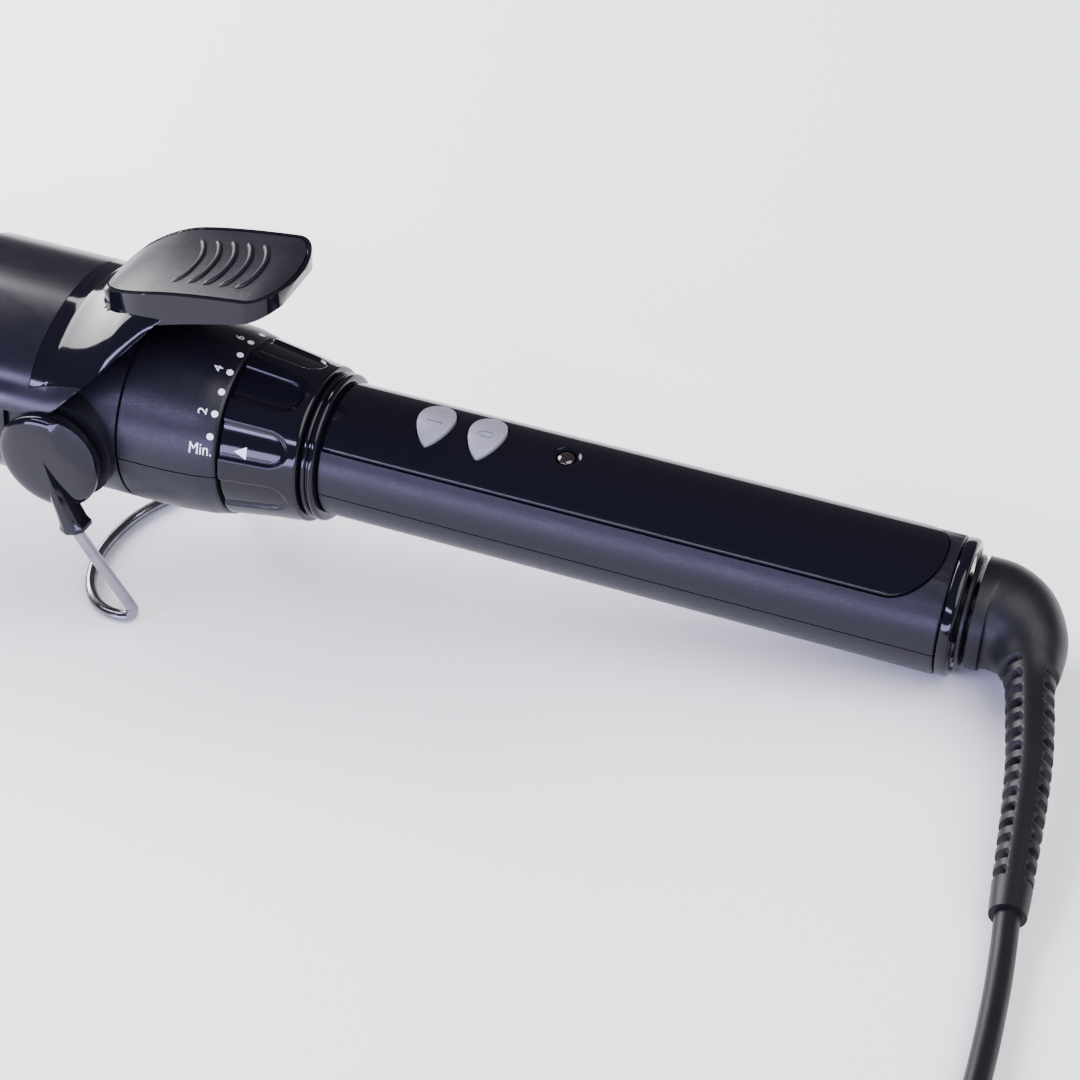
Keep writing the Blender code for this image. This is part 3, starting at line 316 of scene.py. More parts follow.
def placed(name, data):
    """A new object with this data, in the scene."""
    made = bpy.data.objects.new(name, data)
    bpy.context.scene.collection.objects.link(made)
    return made


def edit(piece):
    """Edit mode with all of the piece selected."""
    only(piece)
    bpy.ops.object.mode_set(mode="EDIT")
    bpy.ops.mesh.select_all(action="SELECT")


def tidy_normals(piece, merge=0.0):
    edit(piece)
    if merge:
        bpy.ops.mesh.remove_doubles(threshold=merge)
    bpy.ops.mesh.normals_make_consistent(inside=False)
    bpy.ops.object.mode_set(mode="OBJECT")


def modify(piece, kind, **settings):
    only(piece)
    change = piece.modifiers.new(kind.lower(), kind)
    for name, value in settings.items():
        setattr(change, name, value)
    bpy.ops.object.modifier_apply(modifier=change.name)
    return piece


def bevel(piece, width, segments=3, angle=35):
    return modify(piece, "BEVEL", width=width, segments=segments, limit_method="ANGLE",
                  angle_limit=math.radians(angle), miter_outer="MITER_ARC")


def carve(piece, tool, operation="DIFFERENCE"):
    modify(piece, "BOOLEAN", object=tool, operation=operation, solver="EXACT")
    bpy.data.objects.remove(tool)
    return piece


def lathe(name, stations, sides=128, joined=False):
    """A turned shape about X. A circle is extruded and scaled from station to station, then its
    ends are closed, or joined to each other for a hollow ring."""
    deselect()
    x, radius = stations[0]
    bpy.ops.mesh.primitive_circle_add(vertices=sides, radius=radius, location=(x, 0, 0),
                                      rotation=(0, math.pi / 2, 0))
    piece = bpy.context.object
    piece.name = name
    bpy.ops.object.transform_apply(location=True, rotation=True, scale=True)
    bpy.ops.object.mode_set(mode="EDIT")
    bpy.ops.mesh.select_all(action="SELECT")
    for next_x, next_radius in stations[1:]:
        bpy.ops.mesh.extrude_region_move(TRANSFORM_OT_translate={"value": (next_x - x, 0, 0)})
        share = next_radius / radius
        bpy.ops.transform.resize(value=(1, share, share), center_override=(next_x, 0, 0))
        x, radius = next_x, next_radius
    bpy.ops.mesh.select_all(action="SELECT")
    bpy.ops.mesh.select_non_manifold(extend=False, use_wire=False, use_multi_face=False,
                                     use_non_contiguous=False, use_verts=False)
    if joined:
        bpy.ops.mesh.bridge_edge_loops()
    else:
        bpy.ops.mesh.fill_holes(sides=0)
    tidy_normals(piece)
    return piece


def skin(name, rings, capped=True):
    """A body through rings of equally many points, for sections that differ from each other."""
    made = bmesh.new()
    loops = [[made.verts.new(point) for point in ring] for ring in rings]
    count = len(loops[0])
    for near, far in zip(loops, loops[1:]):
        for i in range(count):
            j = (i + 1) % count
            made.faces.new((near[i], near[j], far[j], far[i]))
    if capped:
        made.faces.new(loops[0])
        made.faces.new(list(reversed(loops[-1])))
    bmesh.ops.recalc_face_normals(made, faces=made.faces)
    mesh = bpy.data.meshes.new(name)
    made.to_mesh(mesh)
    made.free()
    return placed(name, mesh)


def slab(name, outline, low, high, upright=False):
    """A flat outline extruded from low to high: along Z, or along Y when it stands upright."""
    mesh = bpy.data.meshes.new(name)
    if upright:
        points = [(u, low, v) for u, v in outline]
        step = (0, high - low, 0)
    else:
        points = [(u, v, low) for u, v in outline]
        step = (0, 0, high - low)
    mesh.from_pydata(points, [], [range(len(points))])
    piece = placed(name, mesh)
    edit(piece)
    bpy.ops.mesh.extrude_region_move(TRANSFORM_OT_translate={"value": step})
    tidy_normals(piece)
    return piece


def drum(radius, low, high, axis="Z", at=(0, 0, 0), sides=64):
    """A plain round bar, the start of a boss or a tool for a bore."""
    deselect()
    turn = {"X": (0, math.pi / 2, 0), "Y": (math.pi / 2, 0, 0), "Z": (0, 0, 0)}[axis]
    middle = Vector(at)
    middle["XYZ".index(axis)] += (low + high) / 2
    bpy.ops.mesh.primitive_cylinder_add(vertices=sides, radius=radius, depth=high - low, location=middle,
                                        rotation=turn)
    bpy.ops.object.transform_apply(location=True, rotation=True, scale=True)
    return bpy.context.object


def halves(piece, names, plane_gap=0.12):
    """Splits a ring along the parting plane into an upper and a lower shell."""
    shells = []
    for name, side in zip(names, (1, -1)):
        half = placed(name, piece.data.copy())
        edit(half)
        bpy.ops.mesh.bisect(plane_co=(0, 0, side * plane_gap), plane_no=(0, 0, side), use_fill=True,
                            clear_inner=True)
        tidy_normals(half)
        shells.append(half)
    bpy.data.objects.remove(piece)
    return shells


def settle(piece, place, finish, body, *nodes, slot=None, smooth=35, weighted=False):
    """Puts a finished piece in the shared frame, gives it its finish and lets it ride on its body."""
    piece.data.transform(place)
    piece.data.materials.clear()
    piece.data.materials.append(finish if slot else FINISHES[finish])
    only(piece)
    bpy.ops.object.shade_smooth_by_angle(angle=math.radians(smooth))
    if weighted:
        modify(piece, "WEIGHTED_NORMAL", keep_sharp=True, weight=60)
    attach(piece, body)
    if nodes:
        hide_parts(*nodes)
    return piece


def arc(centre, radius, start, end, count):
    angles = [math.radians(start + (end - start) * i / (count - 1)) for i in range(count)]
    return [(centre[0] + radius * math.cos(a), centre[1] + radius * math.sin(a)) for a in angles]


def catmull(values, steps):
    """Points on one smooth curve through the given ones, with this many steps between each two."""
    places = [Vector(value) for value in values]
    ends = [places[0] * 2 - places[1]] + places + [places[-1] * 2 - places[-2]]
    fine = []
    for a, b, c, d in zip(ends, ends[1:], ends[2:], ends[3:]):
        for step in range(steps):
            t = step / steps
            fine.append(0.5 * (2 * b + (c - a) * t + (2 * a - 5 * b + 4 * c - d) * t * t
                               + (3 * b - a - 3 * c + d) * t ** 3))
    return fine + [places[-1]]


def smoothstep(low, high, value):
    t = min(1.0, max(0.0, (value - low) / (high - low)))
    return t * t * (3 - 2 * t)


# Camera and light ----------------------------------------------------------------------------------
CAMERA_PLACE = (169.3, -306.5, 268.6)
CAMERA_RIGHT = (0.9321, 0.3618, 0.0155)
CAMERA_UP = (-0.2453, 0.5995, 0.7618)
CAMERA_BACK = (0.2664, -0.7139, 0.6476)


def make_camera():
    data = bpy.data.cameras.new("camera")
    data.lens = 80.4
    data.sensor_width = 36.0
    data.clip_start = 0.01
    camera = placed("camera", data)
    camera.matrix_world = IRON @ axes(CAMERA_RIGHT, CAMERA_UP, CAMERA_BACK, CAMERA_PLACE, 1)
    camera.scale = (1, 1, 1)
    bpy.context.scene.camera = camera


def panel_light(name, place, aim, size, power, colour=(1, 1, 1)):
    data = bpy.data.lights.new(name, "AREA")
    data.shape = "RECTANGLE"
    data.size, data.size_y = size
    data.energy = power
    data.color = colour
    light = placed(name, data)
    light.location = place
    light.rotation_euler = (Vector(aim) - Vector(place)).to_track_quat("-Z", "Y").to_euler()


def make_studio():
    world = bpy.data.worlds.new("studio")
    bpy.context.scene.world = world
    world.use_nodes = True
    world.node_tree.nodes["Background"].inputs["Color"].default_value = (0.94, 0.94, 1.0, 1)
    world.node_tree.nodes["Background"].inputs["Strength"].default_value = 0.20
    data = bpy.data.lights.new("sky", "SUN")
    data.energy = 5.6
    data.angle = math.radians(60)
    sky = placed("sky", data)
    sky.rotation_euler = Vector((0.62, -0.25, 0.74)).to_track_quat("Z", "Y").to_euler()
    panel_light("left", (-0.70, 0.30, 0.62), (-0.06, 0, 0.05), (0.70, 0.75), 30, (0.97, 0.97, 1))
    panel_light("front", (-0.10, -0.95, 0.095), (0.05, 0, 0.03), (1.3, 0.16), 17, (0.58, 0.56, 1))
    panel_light("edge", (-0.22, -0.80, 0.57), (0.05, 0, 0.03), (0.8, 0.08), 8.0, (0.60, 0.58, 1))
    deselect()
    bpy.ops.mesh.primitive_grid_add(x_subdivisions=8, y_subdivisions=8, size=6.0, location=(0, 0, -0.0002))
    floor = bpy.context.object
    floor.name = "floor"
    finish = Finish("floor", (0.92, 0.92, 0.93), 0.6)
    finish.set("Roughness", 0.55 + finish.place.grain(40, 3) * 0.1)
    floor.data.materials.append(finish.material)


make_camera()
make_studio()

# Cord ----------------------------------------------------------------------------------------------
# The elbow and the tapered tail, in the iron's frame after the swivel: middle, and radius.
ELBOW = [((0.0, 0, 0), 9.7), ((3.2, 0, 0), 9.5), ((6.3, -1.7, 0), 8.8), ((9.2, -5.1, -0.2), 7.2),
         ((11.0, -9.6, -0.5), 5.4)]
TAIL = [(12.0, -14.3, -0.8), (13.8, -22.0, -1.4), (15.3, -29.0, -2.0), (16.4, -36.0, -2.7),
        (17.3, -43.0, -3.5), (18.1, -50.0, -4.3), (18.8, -56.0, -4.9), (19.1, -59.0, -5.1)]
TAIL_START_RADIUS, TAIL_END_RADIUS = 4.1, 2.9
LEAD_ROUTE = [(191.7, -66, 2.6), (192.6, -75, 2.25), (193.5, -90, 2.15), (193.7, -105, 2.1),
              (194.2, -120, 2.1), (195.4, -132.6, 2.05), (196.0, -141, 2.05)]
TAIL_ROUTE = [(160.5, -179.6, 5.8), (152.5, -180.8, 4.7), (146.0, -181.0, 5.0), (141.0, -181.0, 6.4),
              (136.8, -181.0, 6.9), (133.5, -181.0, 6.9)]
COIL_CENTRE, COIL_RADIUS, COLUMN_STEP, LAYER_STEP = (168.0, -150.0), 24.0, 4.1, 4.05
COIL_FLOOR = 2.05
# Where each turn of the coil lies: column from the inside out, layer from the table up.
COIL_SLOTS = [(2, 0), (1, 0), (0, 0), (0, 1), (0, 2), (0, 3), (1, 3), (2, 3), (2, 2), (1, 2), (1, 1), (2, 1)]
STEP_ANGLE = 30.0


def table_point(offset):
    """A point of the elbow or tail, in the table's frame in millimetres."""
    return (IRON @ (Vector(offset) + Vector((RELIEF_START, 0, 0)))) / MM


def coil_points():
    """Turns clockwise from the right side, each stepping to the next slot over a short stretch."""
    steps = []
    drift, last = 0.0, None
    for k, (here, there) in enumerate(zip(COIL_SLOTS, COIL_SLOTS[1:])):
        move = (there[0] - here[0], there[1] - here[1])
        if last and move != last:
            drift += STEP_ANGLE
        last = move
        steps.append((360 * (k + 1) - STEP_ANGLE - drift, move))
    end = 360 * (len(COIL_SLOTS) - 1) + 90
    points = []
    for turned in range(0, end + 1, 15):
        column, layer = COIL_SLOTS[0]
        for at, (across, up) in steps:
            share = smoothstep(at - STEP_ANGLE / 2, at + STEP_ANGLE / 2, turned)
            column += across * share
            layer += up * share
        radius = COIL_RADIUS + COLUMN_STEP * (column - 1)
        a = -math.radians(turned)
        points.append((COIL_CENTRE[0] + radius * math.cos(a), COIL_CENTRE[1] + radius * math.sin(a),
                       COIL_FLOOR + LAYER_STEP * layer))
    return points


def make_cord():
    start = [table_point(TAIL[-2]), table_point(TAIL[-1])]
    route = [*start, *LEAD_ROUTE, *coil_points(), *TAIL_ROUTE]
    data = bpy.data.curves.new("cord", "CURVE")
    data.dimensions = "3D"
    data.bevel_depth = CORD_DIAMETER / 2 * MM
    data.bevel_resolution = 6
    data.resolution_u = 5
    data.use_fill_caps = True
    spline = data.splines.new("BEZIER")
    spline.bezier_points.add(len(route) - 1)
    for point, place in zip(spline.bezier_points, route):
        point.co = Vector(place) * MM
        point.handle_left_type = point.handle_right_type = "AUTO"
    cord = placed("cord", data)
    data.materials.append(FINISHES["soft_black"])
    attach(cord, "swivel")
    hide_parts("cord_lead", "cord_coil", "cord_tail")
    return cord


def ring_round(centre, normal, radii, count):
    """A ring square to its direction. Angle 0 lies across, and radii gives the size at each angle."""
    across = normal.cross(Vector((0, 0, 1))).normalized()
    up = across.cross(normal).normalized()
    ring = []
    for i in range(count):
        a = 2 * math.pi * i / count
        ring.append(centre + radii(a) * (across * math.cos(a) + up * math.sin(a)))
    return ring


FIN_PITCH, FIN_SLOT, FIN_DEPTH = 3.0, 1.25, 1.45


def make_relief():
    """A smooth elbow that runs into a tail with slots on both sides and a spine above and below."""
    sections = [(*place, radius) for place, radius in ELBOW]
    for i, place in enumerate(TAIL):
        share = i / (len(TAIL) - 1)
        sections.append((*place, TAIL_START_RADIUS + (TAIL_END_RADIUS - TAIL_START_RADIUS) * share))
    pairs = [((x, y, z), (r, 0, 0)) for x, y, z, r in sections]
    steps = 22
    places = catmull([place for place, _ in pairs], steps)
    radii = [value.x for value in catmull([r for _, r in pairs], steps)]
    lengths = [0.0]
    for a, b in zip(places, places[1:]):
        lengths.append(lengths[-1] + (b - a).length)
    first_fin, last_fin = 17.0, lengths[-1] - 6.0
    rings = []
    for i, (place, radius, length) in enumerate(zip(places, radii, lengths)):
        ahead = places[min(i + 1, len(places) - 1)]
        behind = places[max(i - 1, 0)]
        inside = smoothstep(first_fin, first_fin + 0.6, length) * smoothstep(last_fin + 0.6, last_fin, length)

        def size(a, radius=radius, length=length, inside=inside):
            side = 0.0 if math.cos(a) > 0 else FIN_PITCH / 2
            phase = (length - first_fin + side) % FIN_PITCH
            slot = smoothstep(0, 0.35, phase) * smoothstep(FIN_SLOT + 0.35, FIN_SLOT, phase)
            flank = smoothstep(0.42, 0.62, abs(math.cos(a)))
            return radius - FIN_DEPTH * slot * flank * inside

        shift = Vector((RELIEF_START, 0, 0))
        rings.append(ring_round(place + shift, (ahead - behind).normalized(), size, 72))
    relief = skin("strain_relief_detail", rings)
    return settle(relief, IRON, "soft_black", "swivel", "strain_relief", smooth=50)


def make_tie():
    """A strap round the coil's turns, a little proud of them."""
    angle, thick, width = math.radians(-42), 0.5, 5.0
    bend, low = 1.5, 1.7
    half_width = 1.5 * COLUMN_STEP + 0.1
    top = COIL_FLOOR + 3.5 * LAYER_STEP + 0.3
    outward = Vector((math.cos(angle), math.sin(angle), 0))
    sideways = Vector((-math.sin(angle), math.cos(angle), 0))
    centre = Vector((*COIL_CENTRE, 0)) + outward * COIL_RADIUS
    corners = []
    for corner, start in (((half_width - bend, top - bend), 0), ((bend - half_width, top - bend), 90),
                          ((bend - half_width, low), 180), ((half_width - bend, low), 270)):
        corners += arc(corner, bend, start, start + 90, 6)
    rings = []
    for push, shift in ((0, -1), (thick, -1), (thick, 1), (0, 1)):
        ring = []
        for u, v in corners:
            lift = Vector((u, v - top / 2)).normalized() * push
            ring.append(centre + outward * (u + lift.x) + Vector((0, 0, max(0.02, v + lift.y)))
                        + sideways * shift * width / 2)
        rings.append(ring)
    tie = skin("cord_tie", [*rings, rings[0]], capped=False)
    tidy_normals(tie, 0.001)
    return settle(tie, TABLE, "soft_black", "swivel", smooth=40)


PLUG_LINE = (-181.0, 6.9)
# Along the plug: distance, half width, half height.
PLUG_SECTIONS = [(136.3, 2.6, 2.6), (136.0, 3.0, 3.0), (128.0, 3.3, 3.3), (121.0, 3.8, 3.8),
                 (114.0, 8.6, 5.3), (106.0, 14.6, 6.4), (98.0, 17.2, 6.8), (93.2, 17.2, 6.7),
                 (92.6, 16.6, 6.1)]
PIN_APART = 9.3


def make_plug():
    """A two-pin plug: a flat body with finger ridges and a ringed sleeve, and two sleeved pins."""
    fine = catmull(PLUG_SECTIONS, 10)
    rings = []
    for x, half_width, half_height in fine:
        ridge = 0.0
        if 97 < x < 113:
            ridge = 0.45 * max(0.0, math.sin((x - 97) / 16 * math.pi * 12)) ** 2
        if 121 < x < 135.5:
            ridge = -0.5 * max(0.0, math.sin((x - 121) / 14.5 * math.pi * 12)) ** 2
        ring = []
        for i in range(64):
            a = 2 * math.pi * i / 64
            grip = smoothstep(0.55, 0.8, abs(math.sin(a))) if x < 114 else 1.0
            wide = half_width + ridge * (x > 114)
            tall = half_height - ridge * grip * (x < 114) + ridge * (x > 114)
            ring.append((x, PLUG_LINE[0] + wide * math.copysign(abs(math.cos(a)) ** 0.7, math.cos(a)),
                         PLUG_LINE[1] + tall * math.copysign(abs(math.sin(a)) ** 0.7, math.sin(a))))
        rings.append(ring)
    body = settle(skin("plug_body_detail", rings), TABLE, "soft_black", "swivel", "plug_body", smooth=40)
    pieces = [body]
    for name, side in (("near", -1), ("far", 1)):
        place = TABLE @ Matrix.Translation((0, PLUG_LINE[0] + side * PIN_APART, PLUG_LINE[1]))
        pin = lathe("plug_pin_detail_" + name, [(82.5, 1.95), (74.5, 1.95), (73.7, 1.75), (73.25, 1.2),
                                                (73.2, 0.4)], 48)
        pieces.append(settle(pin, place, "brass", "swivel", "plug_pin_" + name))
        sleeve = lathe("plug_sleeve_" + name, [(92.8, 1.9), (83.2, 1.9), (82.7, 1.7)], 48)
        pieces.append(settle(sleeve, place, "soft_black", "swivel"))
    return pieces


cord = make_cord()
relief = make_relief()
tie = make_tie()
plug = make_plug()


# Barrel, collar and control housing ----------------------------------------------------------------
UPRIGHT = Matrix.Rotation(-math.pi / 2, 4, "Y")
NEAR = Matrix.Rotation(-math.pi / 2, 4, "Z")


def make_barrel():
    bore, edge = 18.2, 0.15
    tube = lathe("barrel_detail", [
        (BARREL_REAR, bore), (BARREL_REAR, BARREL_RADIUS - edge), (BARREL_REAR - edge, BARREL_RADIUS),
        (-90, BARREL_RADIUS), (-145, BARREL_RADIUS), (BARREL_FRONT + edge, BARREL_RADIUS),
        (BARREL_FRONT, BARREL_RADIUS - edge), (BARREL_FRONT, bore)], 160, joined=True)
    settle(tube, IRON, "ceramic_black", "housing", "barrel_tube")
    rear, spigot, inner = BARREL_FRONT - GAP, bore - GAP, 16.1
    groove = BARREL_RADIUS - 0.25
    corner = arc((TIP_END + 3, BARREL_RADIUS - 3), 3, 90, 180, 9)
    tip = lathe("tip_cap_detail", [
        (TIP_END + WALL, inner - 3), (TIP_END + WALL + 3, inner), (rear + 8, inner), (rear + 8, spigot),
        (rear, spigot), (rear, BARREL_RADIUS - 0.2), (rear - 0.2, BARREL_RADIUS),
        (rear - 1.6, BARREL_RADIUS), (rear - 1.8, groove), (rear - 2.1, groove),
        (rear - 2.3, BARREL_RADIUS), *corner], 128)
    settle(tip, IRON, "satin_black", "housing", "tip_cap")


def make_collar():
    inner = COLLAR_RADIUS - WALL
    outline = [(COLLAR_REAR, inner), (COLLAR_REAR, COLLAR_RADIUS), (COLLAR_FRONT, COLLAR_RADIUS),
               (COLLAR_FRONT, inner)]
    collar = lathe("hinge_collar_detail", outline, 128, joined=True)
    for sign in (-1, 1):
        low, high = sorted((sign * (inner - 2), sign * BOSS_REACH))
        carve(collar, drum(BOSS_RADIUS, low, high, "Y", (HINGE_X, 0, 0), 96), "UNION")
    carve(collar, drum(inner, COLLAR_FRONT - 5, COLLAR_REAR + 5, "X", sides=96))
    carve(collar, drum(PIN_BORE, -30, 30, "Y", (HINGE_X, 0, 0), 48))
    bevel(collar, 0.3, 3)
    settle(collar, IRON, "satin_black", "housing", "hinge_collar", weighted=True)


def housing_radius(x):
    """Outer radius of the control housing, which narrows towards the dial."""
    stations = [(-19.2, 18.0), (-14, 18.0), (-9, 17.8), (-4, 17.3), (-0.5, 16.5)]
    for (x0, r0), (x1, r1) in zip(stations, stations[1:]):
        if x <= x1:
            return r0 + (r1 - r0) * (x - x0) / (x1 - x0)
    return stations[-1][1]


def make_housing():
    front, lip, bore = COLLAR_REAR + GAP, HOUSING_REAR - 2.5, 11.3
    outer = [(front, 17.75), (front + 0.25, 18.0)]
    outer += [(x, housing_radius(x)) for x in (-16, -14, -12, -10, -8.5, -7, -5.5, -4, -3, -2, -1.2, -0.75)]
    shell = lathe("control_housing", [(front, 16.2), *outer, (HOUSING_REAR, 16.3), (HOUSING_REAR, bore),
                                      (lip, bore), (lip, 15.2), (-9, 16.0)], 160, joined=True)
    names = ("control_housing_upper_detail", "control_housing_lower_detail")
    for half, node in zip(halves(shell, names), ("control_housing_upper", "control_housing_lower")):
        bevel(half, 0.12, 2, 50)
        settle(half, IRON, "satin_black", "housing", node)


# The dial's scale: the angle of each dot round the iron, from the top towards the near side.
DOT_ANGLES = (62.3, 48.3, 34.4, 20.8, 6.2, -8.2, -23.6, -37.5)
DOT_X, DOT_RADIUS, MARK_LIFT = -1.6, 0.60, 0.05
WORD_ANGLE, POINTER_ANGLE = 71.3, 69.0


def wrapped(piece, middle, radius_at):
    """Bends a flat mark round the iron. Its X runs along, its Y climbs towards the top."""
    for vertex in piece.data.vertices:
        x, climb, lift = vertex.co
        radius = radius_at(x)
        a = math.radians(middle) - climb / radius
        radius += lift + MARK_LIFT
        vertex.co = (x, -radius * math.sin(a), radius * math.cos(a))


def printed(name, words, size, at, turn=0.0, squeeze=1.0):
    """Small printed characters as a flat mesh, centred on a point."""
    deselect()
    bpy.ops.object.text_add()
    text = bpy.context.object
    text.name = name
    text.data.body = words
    text.data.size = size
    text.data.align_x = "CENTER"
    text.data.align_y = "CENTER"
    bpy.ops.object.convert(target="MESH")
    text.data.transform(Matrix.Translation((*at, 0)) @ Matrix.Rotation(math.radians(turn), 4, "Z")
                        @ Matrix.Diagonal((squeeze, 1, 1, 1)))
    return text


def print_mark(piece, middle, radius_at, body):
    wrapped(piece, middle, radius_at)
    settle(piece, IRON, MARK, body, slot="lead_white")


def make_marks():
    for i, middle in enumerate(DOT_ANGLES):
        deselect()
        bpy.ops.mesh.primitive_circle_add(vertices=40, radius=DOT_RADIUS, fill_type="NGON",
                                          location=(0, 0, 0))
        dot = bpy.context.object
        dot.name = f"dot_{i}"
        dot.data.transform(Matrix.Translation((DOT_X, 0, 0)))
        print_mark(dot, middle, housing_radius, "housing")
    for words, middle in zip("2468", DOT_ANGLES[1::2]):
        digit = printed("digit_" + words, words, 2.3, (DOT_X - 2.1, 0), 90, 1.1)
        print_mark(digit, middle, housing_radius, "housing")
    word = printed("word_min", "Min.", 3.1, (DOT_X - 1.5, 0), 0, 0.80)
    print_mark(word, WORD_ANGLE, housing_radius, "housing")
    mesh = bpy.data.meshes.new("dial_pointer")
    mesh.from_pydata([(2.7, 0, 0), (4.9, -1.15, 0), (4.9, 1.15, 0)], [], [(0, 1, 2)])
    pointer = placed("dial_pointer", mesh)
    print_mark(pointer, POINTER_ANGLE, lambda x: dial_radius(x) - GRIP_DEPTH, "dial")


# Heat dial and trim ring ---------------------------------------------------------------------------
GRIPS, GRIP_START, GRIP_DEPTH, GRIP_HALF, GRIP_END = 9, 23.0, 0.6, 3.4, 12.0


def dial_radius(x):
    return DIAL_FRONT_RADIUS + (DIAL_REAR_RADIUS - DIAL_FRONT_RADIUS) * x / DIAL_LENGTH


def grip_share(x, angle):
    """1 on the floor of a grip recess, 0 outside it. Each is open at the front and round behind."""
    step = 360 / GRIPS
    away = (angle - GRIP_START + step / 2) % step - step / 2
    across = math.radians(away) * DIAL_FRONT_RADIUS
    past = max(0.0, x - (GRIP_END - GRIP_HALF))
    return smoothstep(GRIP_HALF + 0.2, GRIP_HALF - 0.35, math.hypot(across, past))


def make_dial():
    sides = 432
    edge, bore = 0.3, 11.4
    outline = [(0, dial_radius(0) - edge), (0.08, dial_radius(0) - 0.1)]
    outline += [(edge + (DIAL_LENGTH - 2 * edge) * i / 46, None) for i in range(47)]
    outline += [(DIAL_LENGTH - 0.08, DIAL_REAR_RADIUS - 0.1), (DIAL_LENGTH, DIAL_REAR_RADIUS - edge)]
    inside = [(DIAL_LENGTH, bore), (DIAL_LENGTH - WALL, bore), (DIAL_LENGTH - WALL, 12.9), (0, 13.9)]
    rings = []
    for x, radius in outline + inside:
        ring = []
        for i in range(sides):
            angle = 360 * i / sides
            reach = dial_radius(x) if radius is None else radius
            if (x, radius) not in inside:
                reach -= GRIP_DEPTH * grip_share(x, angle)
            a = math.radians(angle)
            ring.append((x, -reach * math.sin(a), reach * math.cos(a)))
        rings.append(ring)
    dial = skin("heat_dial_detail", [*rings, rings[0]], capped=False)
    tidy_normals(dial, 0.001)
    settle(dial, IRON, "gloss_black", "dial", "heat_dial", smooth=50)


def make_trim():
    bore = 11.3
    beads = []
    for centre, half in ((14.95, 0.52), (16.35, 0.62)):
        beads += [(centre - u, 12.95 + v) for u, v in arc((0, 0), half, 0, 180, 11)]
    ring = lathe("trim_ring_detail", [(RING_FRONT, bore), (RING_FRONT, 12.8), *beads, (RING_REAR, 12.8),
                                      (RING_REAR, bore)], 160, joined=True)
    settle(ring, IRON, "gloss_black", "housing", "trim_ring", smooth=45)


# Handle --------------------------------------------------------------------------------------------
def panel_outline(grow):
    """The inlay seen from above: straight front, round rear corners."""
    half, corner, rear = PANEL_WIDTH / 2 + grow, PANEL_CORNER + grow, PANEL_END + grow
    right = arc((rear - corner, half - corner), corner, 90, 0, 25)
    left = arc((rear - corner, corner - half), corner, 0, -90, 25)
    return [(PANEL_FRONT - grow, half), *right, *left, (PANEL_FRONT - grow, -half)]


def teardrop(x, grow):
    """A button seen from above, with its point towards -Y."""
    wide, tall = BUTTON_LENGTH / 2 + grow, BUTTON_WIDTH / 2 + grow
    turns = [2 * math.pi * i / 72 for i in range(72)]
    return [(x + 1.1 * wide * math.sin(t) * math.sin(t / 2) ** 0.45, -tall * math.cos(t)) for t in turns]


def make_shells():
    inner, neck, neck_inner = HANDLE_RADIUS - WALL, 11.0, 9.2
    tube = lathe("handle_shell", [(-6, neck_inner), (-6, neck), (HANDLE_FRONT, neck), (HANDLE_FRONT, 11.8),
                                  (HANDLE_FRONT + 0.2, HANDLE_RADIUS), (HANDLE_END - 0.2, HANDLE_RADIUS),
                                  (HANDLE_END, 11.8), (HANDLE_END, inner), (HANDLE_FRONT + 3, inner),
                                  (HANDLE_FRONT + 1, neck_inner)], 144, joined=True)
    upper, lower = halves(tube, ("handle_upper_detail", "handle_lower_detail"))
    recess = lathe("recess", [(10, PANEL_BED), (10, 15), (135, 15), (135, PANEL_BED)], 144, joined=True)
    carve(recess, slab("recess_shape", panel_outline(GAP), 3, 18), "INTERSECT")
    carve(upper, recess)
    for x in SCREWS:
        carve(upper, drum(3.0, 0.2, inner + 0.4, at=(x, 0, 0)), "UNION")
        carve(upper, drum(1.3, -1, 7.2, at=(x, 0, 0)))
        carve(lower, drum(3.5, -inner - 0.6, -0.2, at=(x, 0, 0)), "UNION")
        carve(lower, drum(1.7, -15, 1, at=(x, 0, 0)))
        carve(lower, drum(2.7, -15, -7.5, at=(x, 0, 0)))
    for x in BUTTONS.values():
        carve(upper, slab("hole", teardrop(x, GAP), 6, 16))
    carve(upper, drum(LAMP_BORE, 5, 16, at=(LAMP_X, 0, 0)))
    bevel(upper, 0.12, 2, 40)
    bevel(lower, 0.12, 2, 40)
    settle(upper, HANDLE, "satin_black", "housing", "handle_upper_shell", weighted=True)
    settle(lower, HANDLE, "satin_black", "housing", "handle_lower_shell", weighted=True)


def make_panel():
    outline = [(10, PANEL_INNER), (10, PANEL_OUTER), (135, PANEL_OUTER), (135, PANEL_INNER)]
    panel = lathe("gloss_panel_detail", outline, 192, joined=True)
    carve(panel, slab("panel_shape", panel_outline(0), 3, 16), "INTERSECT")
    for x in BUTTONS.values():
        carve(panel, slab("hole", teardrop(x, GAP), 6, 16))
    dish = lathe("dish", [(PANEL_OUTER - 0.45, 2.0), (PANEL_OUTER - 0.28, 2.5), (PANEL_OUTER, 3.1),
                          (PANEL_OUTER + 1, 3.6)], 64)
    dish.data.transform(Matrix.Translation((LAMP_X, 0, 0)) @ UPRIGHT)
    carve(panel, dish)
    carve(panel, drum(LAMP_BORE, 5, 16, at=(LAMP_X, 0, 0)))
    bevel(panel, 0.16, 3, 40)
    settle(panel, HANDLE, "gloss_black", "housing", "gloss_panel", smooth=40, weighted=True)


def ring_outline(x, half_long, half_wide, count=40):
    angles = [2 * math.pi * i / count for i in range(count)]
    return [(x + half_long * math.cos(a), half_wide * math.sin(a)) for a in angles]


def box_outline(x, half_long, half_wide):
    return [(x - half_long, -half_wide), (x + half_long, -half_wide), (x + half_long, half_wide),
            (x - half_long, half_wide)]


